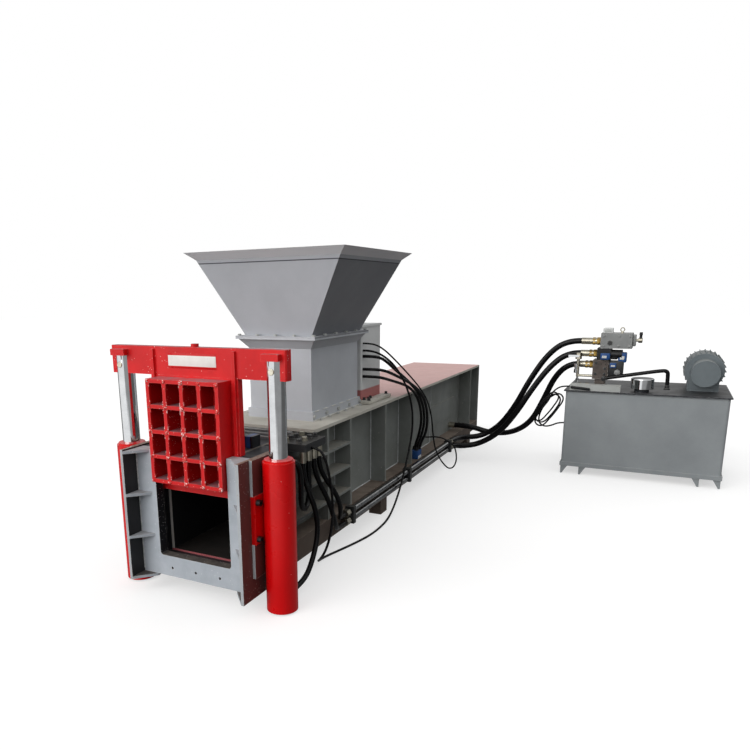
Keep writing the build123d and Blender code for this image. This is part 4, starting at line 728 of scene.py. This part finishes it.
# %% Six cables
CABLES = {
    "cable_outer": (0.016, 1.041, "medium", "hanging", [
        (165, 1262, 752), (205, 1262, 752), (240, 1292, 748), (256, 1345, 735),
        (262, 1435, 712), (270, 1540, 686), (281, 1640, 655), (291, 1735, 603),
        (293, 1815, 525), (287, 1870, 425), (268, 1887, 330), (236, 1893, 245),
        (236, 1893, 172)]),
    "cable_top": (0.016, 1.087, "medium", "hanging", [
        (165, 1262, 858), (210, 1262, 858), (247, 1292, 852), (266, 1345, 825),
        (276, 1435, 775), (287, 1540, 724), (299, 1640, 669), (310, 1735, 604),
        (312, 1815, 525), (306, 1870, 425), (290, 1875, 330), (258, 1872, 245),
        (258, 1872, 172)]),
    "cable_inner": (0.016, 1.081, "medium", "hanging", [
        (165, 1262, 790), (212, 1262, 790), (254, 1290, 787), (278, 1345, 770),
        (292, 1435, 738), (305, 1540, 702), (318, 1640, 659), (329, 1735, 605),
        (331, 1815, 526), (325, 1870, 426), (306, 1897, 330), (258, 1914, 245),
        (258, 1914, 172)]),
    "cable_thin": (0.009, 1.718, "limp", "hanging", [
        (165, 1262, 925), (200, 1262, 925), (232, 1292, 915), (250, 1350, 886),
        (262, 1440, 838), (276, 1540, 778), (294, 1640, 712), (316, 1735, 640),
        (340, 1815, 552), (350, 1870, 445), (350, 1900, 340), (352, 1935, 245),
        (364, 1990, 165), (385, 2050, 102), (406, 2080, 74), (428, 2106, 80),
        (441, 2118, 118), (440, 2119, 162), (430, 2117, 206), (408, 2112, 234),
        (366, 2106, 262), (306, 2102, 272), (240, 2100, 262), (185.5, 2100, 262)]),
    "cable_signal": (0.011, 2.627, "limp", "loose", [
        (165, 1262, 888), (208, 1262, 888), (250, 1287, 872), (292, 1345, 825),
        (316, 1425, 748), (328, 1500, 660), (334, 1560, 560), (334, 1580, 445),
        (328, 1555, 330), (322, 1500, 218), (324, 1420, 118), (332, 1310, 45),
        (344, 1190, 9), (353, 1060, 6), (350, 930, 6), (328, 810, 6),
        (300, 695, 6), (272, 590, 6), (280, 505, 18), (326, 440, 58),
        (372, 405, 118), (396, 408, 196), (402, 420, 286), (402, 412, 376),
        (400, 392, 460), (390, 380, 528), (364, 380, 570), (325.5, 380, 570)]),
}
print(len(CABLES), "cables before the hank")

# %% [markdown]
# The photograph shows five or six strands, and here the hank has three turns. Each goes round a long loop:
# the same sixteen steps, given as how far along the loop and how far out, with a size and a place of its
# own, so that the turns fan out as loose cable does. The routes of the hoses and cables are given in
# millimetres, and a small function makes them metres.

# %% The hank's turns
HANK_AT = Vector((0.905, 2.600, 0.415))
HANK_TILT = (0.55, 0.835)
HANK_PITCH = 0.013
HANK_TURNS = ((0.128, 0.036, -0.013), (0.110, 0.040, 0.0), (0.114, 0.034, 0.016))
HANK_SHAPE = (
    ((0.55, 0.0), 1.06),
    ((-0.05, 0.0), 1.12),
    ((-0.6, 0.0), 1.06),
    ((-1.0, 0.0), 1.0),
    ((-1.0, -0.707), 0.707),
    ((-1.0, -1.0), 0.0),
    ((-1.0, -0.707), -0.707),
    ((-1.0, 0.0), -1.0),
    ((-0.5, 0.0), -1.06),
    ((0.05, 0.0), -1.12),
    ((0.6, 0.0), -1.06),
    ((1.0, 0.0), -1.0),
    ((1.0, 0.707), -0.707),
    ((1.0, 1.0), 0.0),
    ((1.0, 0.707), 0.707),
    ((1.0, 0.0), 1.0),
)
hank_points = metres([(1041, 2597, 572), (1003, 2597, 572), (966, 2598, 560), (930, 2599, 525)])
for turn, (half_length, bend_radius, aside) in enumerate(HANK_TURNS):
    for step, ((straight, rounded), out) in enumerate(HANK_SHAPE):
        reach = (half_length - bend_radius) * straight + bend_radius * rounded
        hank_points.append((
            HANK_AT.x + reach * HANK_TILT[0] - (bend_radius * out + aside) * HANK_TILT[1],
            HANK_AT.y + (turn + step / len(HANK_SHAPE)) * HANK_PITCH,
            HANK_AT.z + reach * HANK_TILT[1] + (bend_radius * out + aside) * HANK_TILT[0],
        ))
hank_points += metres([
    (889, 2641, 450), (862, 2645, 398), (846, 2650, 345), (852, 2656, 303),
    (886, 2662, 282), (930, 2668, 292), (975, 2673, 316), (1018, 2673, 316)])
CABLES["cable_hank"] = (0.010, 2.159, "limp", "coiled", hank_points)

for cable_name, (cable_diameter, cable_length, stiffness, lay, cable_route) in CABLES.items():
    cable_points = cable_route if cable_name == "cable_hank" else metres(cable_route)
    cable = hose_curve(cable_name, cable_points, cable_diameter)
    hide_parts("electric_cables")
    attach(cable, "press")
    print(cable_name, "has", len(cable_points), "control points")

# %% [markdown]
# ## Helpers for the small pieces
#
# The small pieces come from three helpers. A block is a cube at its size with its edges bevelled. A turned
# piece is a circle that is extruded upwards and scaled at each step, as on a lathe, so bolts, nipples and
# glands need only a list of heights and radii. A weld is one small bead that an Array modifier lays along a
# seam. Each ends with its place in its mesh, because the patterns of the paints read Object coordinates.

# %% Finish a piece, and make a block
SMOOTH_BELOW = math.radians(35.0)
UP = (0, 0, 1)
FORWARDS = (0, -1, 0)
BACKWARDS = (0, 1, 0)
TO_LEFT = (-1, 0, 0)
TO_RIGHT = (1, 0, 0)


def settle(piece, name, material, body="press"):
    """Names a piece, puts its place into its mesh, paints it and lets it ride on its body."""
    bpy.ops.object.transform_apply(location=True, rotation=True, scale=True)
    piece.name = name
    piece.data.name = name
    piece.data.materials.clear()
    piece.data.materials.append(material)
    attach(piece, body)
    return piece


def block(name, low, high, edge, material, body="press"):
    """A block from its low corner to its high one, in metres, with rounded edges."""
    bpy.ops.object.select_all(action="DESELECT")
    centre = [(a + b) / 2.0 for a, b in zip(low, high)]
    bpy.ops.mesh.primitive_cube_add(size=1.0, location=centre)
    piece = bpy.context.object
    piece.scale = [b - a for a, b in zip(low, high)]
    bpy.ops.object.transform_apply(location=False, rotation=False, scale=True)
    rounding = piece.modifiers.new("rounding", "BEVEL")
    rounding.width = edge
    rounding.segments = 2
    bpy.ops.object.modifier_apply(modifier=rounding.name)
    bpy.ops.object.shade_smooth_by_angle(angle=SMOOTH_BELOW)
    return settle(piece, name, material, body)


# %% Make a turned piece
def turned(name, rings, sides, material, spot, direction, body="press"):
    """A piece turned along direction from spot: rings are (height, radius) pairs in metres."""
    bpy.ops.object.select_all(action="DESELECT")
    bpy.ops.mesh.primitive_circle_add(vertices=sides, radius=rings[0][1], fill_type="NGON")
    piece = bpy.context.object
    bpy.ops.object.mode_set(mode="EDIT")
    for (height, radius), (next_height, next_radius) in zip(rings, rings[1:]):
        rise = {"value": (0.0, 0.0, next_height - height)}
        bpy.ops.mesh.extrude_region_move(TRANSFORM_OT_translate=rise)
        growth = next_radius / radius
        bpy.ops.transform.resize(value=(growth, growth, 1.0), center_override=(0.0, 0.0, 0.0))
    bpy.ops.mesh.select_all(action="SELECT")
    bpy.ops.mesh.normals_make_consistent(inside=False)
    bpy.ops.object.mode_set(mode="OBJECT")
    bpy.ops.object.shade_smooth_by_angle(angle=SMOOTH_BELOW)
    turn = Vector(direction).to_track_quat("Z", "Y").to_matrix().to_4x4()
    piece.data.transform(Matrix.Translation(spot) @ turn)
    return settle(piece, name, material, body)


def hex_bolt(name, radius, height, material, spot, direction, body="press"):
    """A hexagon head on its washer."""
    rings = ((0.0, radius * 1.35), (height * 0.2, radius * 1.35), (height * 0.21, radius),
             (height * 0.9, radius), (height, radius * 0.8))
    return turned(name, rings, 6, material, spot, direction, body)


print("block, turned piece and bolt ready")

# %% Weld beads along a seam
def weld(name, start, end, size, material, body="press"):
    """A row of overlapping beads from start to end."""
    bpy.ops.object.select_all(action="DESELECT")
    bpy.ops.mesh.primitive_uv_sphere_add(segments=8, ring_count=5, radius=size)
    piece = bpy.context.object
    bpy.ops.object.mode_set(mode="EDIT")
    bpy.ops.mesh.select_all(action="SELECT")
    bpy.ops.transform.vertex_random(offset=size * 0.12, seed=3)
    bpy.ops.object.mode_set(mode="OBJECT")
    seam = Vector(end) - Vector(start)
    row = piece.modifiers.new("row", "ARRAY")
    row.count = max(2, int(seam.length / (size * 1.1)))
    row.use_relative_offset = False
    row.use_constant_offset = True
    row.constant_offset_displace = seam / (row.count - 1)
    bpy.ops.object.modifier_apply(modifier=row.name)
    bpy.ops.object.shade_smooth()
    piece.data.transform(Matrix.Translation(start))
    return settle(piece, name, material, body)


grey_weld = painted("grey_weld", "D2D4D4", "A2A6A8", 0.45, 60.0, worn=(0.2, "8A8C8C"), peel=0.3)
pale_weld = painted("pale_weld", "E6E6E2", "BDBDB8", 0.5, 60.0, peel=0.3)
red_weld = painted("red_weld", "D8423E", "C4201F", 0.36, 70.0, dots=(0.3, "F6DAD6", 0.5, 220.0), peel=0.3)
WELD = 0.0035
FLANGE_SEAM_X = 0.2645
FLANGE_SEAM_Z = (0.085, 0.585)
GUSSET_SEAM_X = 0.262
GUSSET_SEAM_Y = (-0.001, -0.062)
GUSSET_SEAMS_Z = (0.239, 0.414)
for side in (-1.0, 1.0):
    label = "left" if side < 0 else "right"
    weld("weld_flange_" + label, (side * FLANGE_SEAM_X, 0.0, FLANGE_SEAM_Z[0]),
         (side * FLANGE_SEAM_X, 0.0, FLANGE_SEAM_Z[1]), WELD, grey_weld)
    for number, gusset_z in enumerate(GUSSET_SEAMS_Z, start=1):
        ends = [(side * GUSSET_SEAM_X, seam_y, gusset_z) for seam_y in GUSSET_SEAM_Y]
        weld("weld_gusset_" + label + str(number), *ends, WELD, grey_weld)
RIB_SEAM_X = 0.1865
RIB_SEAM_Z = (0.18, 0.59)
RAIL_SEAM_Z = 0.1725
BAYS_Y = ((0.645, 0.872), (0.887, 1.318), (1.333, 1.735), (1.775, 2.342))
for number, (bay_from, bay_to) in enumerate(BAYS_Y, start=1):
    weld("weld_rail_" + str(number), (RIB_SEAM_X, bay_from + 0.01, RAIL_SEAM_Z),
         (RIB_SEAM_X, bay_to - 0.01, RAIL_SEAM_Z), WELD, grey_weld)
    weld("weld_rib_" + str(number), (RIB_SEAM_X, bay_to - 0.001, RIB_SEAM_Z[0]),
         (RIB_SEAM_X, bay_to - 0.001, RIB_SEAM_Z[1]), WELD, grey_weld)
print("welds on the frame, the ribs and the rails")

# %% [markdown]
# ## Welds of the gate's grid
#
# The grid's bars cross 25 times, and each crossing was welded by hand: a lump sits on it and smaller beads
# run into the corners. One lump is modelled, a sphere pressed flat and roughened, and the other 24 are
# copies of it with their own meshes, turned and sized a little differently so that no two look alike.

# %% Lumps on the 25 crossings
GRID_X = (-0.1615, 0.08075)
GRID_Z = (0.4795, 0.09775)
GRID_FRONT = -0.0245
bpy.ops.object.select_all(action="DESELECT")
bpy.ops.mesh.primitive_ico_sphere_add(subdivisions=2, radius=0.0085)
lump = bpy.context.object
bpy.ops.object.mode_set(mode="EDIT")
bpy.ops.mesh.select_all(action="SELECT")
bpy.ops.transform.vertex_random(offset=0.0012, seed=7)
bpy.ops.transform.resize(value=(1.0, 0.42, 1.0), center_override=(0.0, 0.0, 0.0))
bpy.ops.object.mode_set(mode="OBJECT")
bpy.ops.object.shade_smooth()
lumps = [lump]
for number in range(1, 25):
    copied = lump.copy()
    copied.data = lump.data.copy()
    bpy.context.collection.objects.link(copied)
    lumps.append(copied)
for number, piece in enumerate(lumps):
    column, line = number % 5, number // 5
    size = 0.8 + 0.1 * ((number * 7) % 5)
    place = Matrix.Translation((GRID_X[0] + column * GRID_X[1], GRID_FRONT, GRID_Z[0] + line * GRID_Z[1]))
    turned_and_sized = Matrix.Rotation(number * 1.3, 4, "Y") @ Matrix.Diagonal((size, 1.0, size, 1.0))
    piece.data.transform(place @ turned_and_sized)
bpy.ops.object.select_all(action="DESELECT")
for piece in lumps:
    piece.select_set(True)
bpy.context.view_layer.objects.active = lump
bpy.ops.object.join()
settle(bpy.context.object, "grid_weld_lumps", red_weld, "gate")
print("25 lumps joined")

# %% Beads in the cells' corners
CELL_INSET = 0.0085
for column in range(4):
    for side in (-1.0, 1.0):
        cell_x = GRID_X[0] + (column + 0.5) * GRID_X[1] + side * (GRID_X[1] / 2.0 - CELL_INSET)
        for line in range(5):
            crossing_z = GRID_Z[0] + line * GRID_Z[1]
            low = crossing_z + 0.008 if line == 0 else crossing_z - 0.022
            high = crossing_z - 0.008 if line == 4 else crossing_z + 0.022
            weld("grid_bead_" + str(column) + str(int(side > 0)) + str(line), (cell_x, -0.0225, low),
                 (cell_x, -0.0225, high), 0.0026, red_weld, "gate")
print("beads laid in 16 cells")

# %% [markdown]
# ## Chrome rods, pins, pipes and breather
#
# Chrome shows every facet, so these pieces of the solid model are shown by smooth copies of themselves. The
# model's meshes are loose triangles, so in a copy the triangles are merged first, flat neighbours become one
# face, and faces that meet at less than 35 degrees are shaded smooth. The copy stands for the node.

# %% Smooth copies
def smooth_copy(node_name, body):
    """A merged and smooth-shaded copy of a node of the model, standing for it."""
    bpy.ops.object.select_all(action="DESELECT")
    piece = nodes[node_name].copy()
    piece.data = nodes[node_name].data.copy()
    bpy.context.collection.objects.link(piece)
    piece.parent = None
    piece.matrix_world = Matrix.Identity(4)
    piece.name = node_name + "_smooth"
    piece.data.name = piece.name
    piece.select_set(True)
    bpy.context.view_layer.objects.active = piece
    bpy.ops.object.mode_set(mode="EDIT")
    bpy.ops.mesh.select_all(action="SELECT")
    bpy.ops.mesh.remove_doubles(threshold=0.00001)
    bpy.ops.mesh.dissolve_limited(angle_limit=math.radians(0.5))
    bpy.ops.object.mode_set(mode="OBJECT")
    bpy.ops.object.shade_smooth_by_angle(angle=SMOOTH_BELOW)
    bpy.ops.object.modifier_add(type="WEIGHTED_NORMAL")
    piece.modifiers[-1].keep_sharp = True
    bpy.ops.object.modifier_apply(modifier=piece.modifiers[-1].name)
    if node_name == "lift_rods":
        # the facets keep clear of the glands' facets wherever the rods slide
        bpy.ops.object.mode_set(mode="EDIT")
        bpy.ops.mesh.select_all(action="SELECT")
        bpy.ops.transform.shrink_fatten(value=-0.0004)
        bpy.ops.object.mode_set(mode="OBJECT")
    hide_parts(node_name)
    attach(piece, body)
    print(piece.name, "has", len(piece.data.polygons), "faces")


for node_name, body in (("lift_rods", "gate"), ("rod_pins", "gate"), ("side_pipes", "press"),
                        ("breather_cap", "breather")):
    smooth_copy(node_name, body)

# %% [markdown]
# ## Small pieces on the press
#
# The plate on the crossbeam is a plain white one with a red band along its top and foot. Behind
# the neck a cover plate lies on the deck with five dark bolts, and along the neck's foot runs a pale strip
# with stitch welds above it. The bundle of cables ends in a blue connector on the rail.

# %% Blank plate on the crossbeam
def band_zones(tree, shade):
    """Deep red bands along the plate's top and foot."""
    from_middle = off_middle(tree, "Z", PLATE_MIDDLE_Z)
    return layer(tree, between(tree, from_middle, 0.0195, 0.0205), shade, srgb("C40006"))


PLATE_MIDDLE_Z = 0.942
plate_paint = painted("plate_paint", "F0EFEC", "E2E0DC", 0.35, 12.0, dots=(0.14, "B9B4AE", 0.05, 140.0),
                      dusty=(0.1, "9A948C"), peel=0.03, zones=band_zones)
block("blank_plate", (-0.115, 0.0524, 0.914), (0.109, 0.0539, 0.970), 0.0005, plate_paint, "gate")

# %% Cover plate, foot strip and stitch welds
DECK_Z = 0.6143
COVER_TOP_Z = 0.634
STITCH_Z = 0.6565
block("cover_plate", (0.1752, 1.196, DECK_Z), (0.232, 1.500, COVER_TOP_Z), 0.006, deck_paint)
for number, (bolt_x, bolt_y) in enumerate(((0.221, 1.212), (0.205, 1.245), (0.190, 1.220), (0.196, 1.290),
                                           (0.212, 1.470)), start=1):
    hex_bolt("cover_bolt_" + str(number), 0.0075, 0.014, oiled_steel, (bolt_x, bolt_y, COVER_TOP_Z), UP)
block("foot_strip", (0.1755, 0.682, DECK_Z), (0.1815, 1.190, 0.6195), 0.001, pale_weld)
for number in range(6):
    stitch_y = 0.70 + 0.085 * number
    weld("stitch_" + str(number + 1), (0.1757, stitch_y, STITCH_Z), (0.1757, stitch_y + 0.035, STITCH_Z),
         0.0028, pale_weld)
    hex_bolt("foot_bolt_" + str(number + 1), 0.0062, 0.008, bar_paint,
             (0.193, 0.725 + 0.088 * number, DECK_Z), UP)
print("cover plate and foot strip placed")

# %% Blue connector where the thick cables end
block("connector_body", (0.222, 1.856, 0.1723), (0.2705, 1.930, 0.226), 0.004, blue_plastic)
block("connector_latch", (0.2295, 1.866, 0.1724), (0.2715, 1.920, 0.192), 0.002, white_plastic)
GLAND = ((0.0, 0.0125), (0.010, 0.0125), (0.011, 0.0108), (0.022, 0.0095))
for number, gland_at in enumerate(((0.236, 1.893), (0.258, 1.872), (0.258, 1.914)), start=1):
    turned("connector_gland_" + str(number), GLAND, 12, coil_plastic, (*gland_at, 0.226), UP)
print("connector placed")

# %% [markdown]
# ### On top of the frame
#
# Between the gate and the deck the frame is open, and steel rods and fittings cross the dark gap: tie rods,
# the limit switch with its lever, and the screwed plugs of the hydraulic manifold.

# %% Tie rods, switch lever and plugs
ROD = ((0.0, 0.0045), (0.0002, 0.005), (0.42, 0.005), (0.4202, 0.0045))
for number, rod_y in enumerate((0.345, 0.405, 0.470), start=1):
    turned("tie_rod_" + str(number), ROD, 10, block_paint, (-0.235, rod_y, 0.604), TO_RIGHT)
SWITCH_GLAND = ((0.0, 0.009), (0.008, 0.009), (0.009, 0.0075), (0.020, 0.0065))
turned("switch_gland", SWITCH_GLAND, 12, coil_plastic, (0.150, 0.2415, 0.612), BACKWARDS)
LEVER_HUB = ((0.0, 0.0085), (0.006, 0.0085), (0.007, 0.007), (0.010, 0.007))
turned("switch_hub", LEVER_HUB, 14, zinc, (0.128, 0.203, 0.627), TO_LEFT)
block("switch_lever", (0.1165, 0.198, 0.627), (0.1195, 0.208, 0.668), 0.001, zinc)
turned("switch_roller", ((0.0, 0.0075), (0.001, 0.009), (0.006, 0.009), (0.007, 0.0075)), 16, white_plastic,
       (0.1165, 0.203, 0.665), TO_LEFT)
MANIFOLD_TOP_Z = 0.592
PLUG = ((0.0, 0.014), (0.004, 0.014), (0.0045, 0.0115), (0.016, 0.0115), (0.018, 0.009))
for number in range(8):
    plug_at = (0.222 + 0.062 * (number % 2), 0.353 + 0.045 * (number // 2), MANIFOLD_TOP_Z)
    turned("manifold_plug_" + str(number + 1), PLUG, 6, dark_block_paint if number % 3 else zinc, plug_at,
           UP)
print("frame top fitted")

# %% [markdown]
# ## Small pieces on the power unit
#
# The hoses enter through brass nipples. On the valve block sit a white module, a lifting eye and a pressure
# switch, and the solenoid valves below it carry blue coils with blank labels. A black pressure pipe leaves
# the lower manifold to the right. The photograph ends there, so its bend down into the lid is a guess.

# %% Brass nipples at the three hoses
PORT_Y = 2.690
NIPPLE = ((0.0, 0.0225), (0.004, 0.0245), (0.022, 0.0245), (0.024, 0.0222), (0.034, 0.0222), (0.035, 0.0240),
          (0.048, 0.0240), (0.050, 0.0222))
for label, port_x, port_z in (("top", 1.195, 0.858), ("middle", 1.180, 0.780), ("low", 1.161, 0.710)):
    turned("nipple_" + label, NIPPLE, 6, brass, (port_x - 0.0003, PORT_Y, port_z), TO_LEFT)

# %% Module, lifting eye, pressure switch and cover screws
BLOCK_FRONT_Y = 2.635
LID_Z = 0.5752
COCK_Y = 2.645
block("valve_module", (1.205, 2.650, 0.9113), (1.262, 2.712, 0.943), 0.004, white_plastic)
block("module_label", (1.214, 2.6485, 0.918), (1.253, 2.6505, 0.936), 0.0006, bar_paint)
turned("eye_base", ((0.0, 0.011), (0.006, 0.011), (0.007, 0.006), (0.014, 0.005)), 16, zinc,
       (1.315, 2.668, 0.911), UP)
bpy.ops.object.select_all(action="DESELECT")
bpy.ops.mesh.primitive_torus_add(major_radius=0.0115, minor_radius=0.0033, major_segments=20,
                                 minor_segments=8, location=(1.315, 2.668, 0.934),
                                 rotation=(math.radians(90.0), 0.0, 0.0))
bpy.ops.object.shade_smooth()
settle(bpy.context.object, "lifting_eye", zinc)
block("pilot_block", (1.3773, 2.655, 0.832), (1.396, 2.720, 0.902), 0.003, block_paint)
turned("pressure_switch", ((0.0, 0.009), (0.012, 0.009), (0.013, 0.016), (0.034, 0.016), (0.036, 0.012)), 18,
       zinc, (1.396, 2.680, 0.868), TO_RIGHT)
turned("switch_plug", ((0.0, 0.008), (0.016, 0.008), (0.018, 0.010), (0.034, 0.009)), 12, coil_plastic,
       (1.421, 2.680, 0.884), UP)
for number, (screw_x, screw_z) in enumerate(((1.213, 0.834), (1.213, 0.894), (1.300, 0.834), (1.300, 0.894),
                                             (1.360, 0.834), (1.360, 0.894)), start=1):
    turned("block_screw_" + str(number), ((0.0, 0.0065), (0.005, 0.0065), (0.006, 0.0052)), 12, block_paint,
           (screw_x, BLOCK_FRONT_Y, screw_z), FORWARDS)
turned("block_port", ((0.0, 0.016), (0.004, 0.016), (0.005, 0.012), (0.009, 0.012)), 6, dark_block_paint,
       (1.250, BLOCK_FRONT_Y, 0.852), FORWARDS)
print("valve block dressed")

# %% Blue coils, black plugs and their blank labels
block("coil_blue_left", (1.203, 2.607, 0.748), (1.259, 2.6345, 0.788), 0.005, blue_plastic)
block("coil_label_left", (1.213, 2.6055, 0.757), (1.240, 2.6075, 0.773), 0.0006, white_plastic)
block("coil_black_middle", (1.262, 2.640, 0.748), (1.302, 2.700, 0.792), 0.006, coil_plastic)
block("coil_blue_right", (1.304, 2.645, 0.730), (1.352, 2.705, 0.792), 0.006, blue_plastic)
block("coil_label_right", (1.314, 2.6435, 0.748), (1.340, 2.6455, 0.770), 0.0006, white_plastic)
block("plug_low", (1.2525, 2.637, 0.634), (1.338, 2.715, 0.738), 0.006, dark_block_paint)
block("coil_blue_low", (1.262, 2.622, 0.696), (1.298, 2.6405, 0.728), 0.004, blue_plastic)
block("coil_label_low", (1.268, 2.6205, 0.704), (1.292, 2.6225, 0.714), 0.0006, white_plastic)
LOWER_NUTS = ((1.178, 0.655), (1.232, 0.655), (1.178, 0.725), (1.232, 0.690))
for number, (nut_x, nut_z) in enumerate(LOWER_NUTS, start=1):
    hex_bolt("lower_nut_" + str(number), 0.0075, 0.006, dark_block_paint, (nut_x, BLOCK_FRONT_Y, nut_z),
             FORWARDS)
hex_bolt("low_plug_nut", 0.014, 0.014, block_paint, (1.306, 2.637, 0.668), FORWARDS)
print("coils placed")

# %% Black pressure pipe to the right, and down into the lid
bpy.ops.object.select_all(action="DESELECT")
pipe = hose_curve("pressure_pipe", [
    (1.228, 2.622, 0.628), (1.330, 2.622, 0.648), (1.440, 2.624, 0.669), (1.540, 2.626, 0.688),
    (1.588, 2.628, 0.692), (1.592, 2.630, 0.650), (1.592, 2.630, 0.577)], 0.023)
pipe.select_set(True)
bpy.context.view_layer.objects.active = pipe
bpy.ops.object.convert(target="MESH")
bpy.ops.object.shade_smooth_by_angle(angle=SMOOTH_BELOW)
settle(bpy.context.object, "pressure_pipe", rubber)
turned("pipe_foot", ((0.0, 0.020), (0.008, 0.020), (0.009, 0.0155), (0.026, 0.0155), (0.028, 0.0125)), 6,
       dark_block_paint, (1.592, 2.630, LID_Z), UP)
turned("pipe_elbow", ((0.0, 0.012), (0.002, 0.0155), (0.026, 0.0155), (0.028, 0.012)), 18, dark_block_paint,
       (1.232, 2.6348, 0.629), FORWARDS)
turned("cock_body", ((0.0, 0.010), (0.002, 0.0125), (0.022, 0.0125), (0.024, 0.0095), (0.036, 0.0095),
                     (0.038, 0.0125), (0.058, 0.0125), (0.060, 0.010)), 14, chrome,
       (1.0604, COCK_Y, 0.655), UP)
turned("cock_column", ((0.0, 0.011), (0.012, 0.011), (0.013, 0.008), (0.030, 0.008), (0.031, 0.0105),
                       (0.046, 0.0105), (0.048, 0.007), (0.058, 0.007)), 6, chrome,
       (1.072, COCK_Y, LID_Z), UP)
turned("lid_nipple", ((0.0, 0.0075), (0.014, 0.0075), (0.015, 0.0055), (0.040, 0.0055), (0.041, 0.0085),
                      (0.062, 0.0085)), 6, brass, (1.084, COCK_Y, 0.5842), TO_RIGHT)
turned("bar_handle", ((0.0, 0.006), (0.006, 0.0085), (0.112, 0.0085), (0.118, 0.006)), 14, coil_plastic,
       (1.046, 2.5515, 0.574), (1, 0, -0.09))
print("pressure pipe laid")

# %% [markdown]
# ## Last step
#

# %% Finish
print("finished")
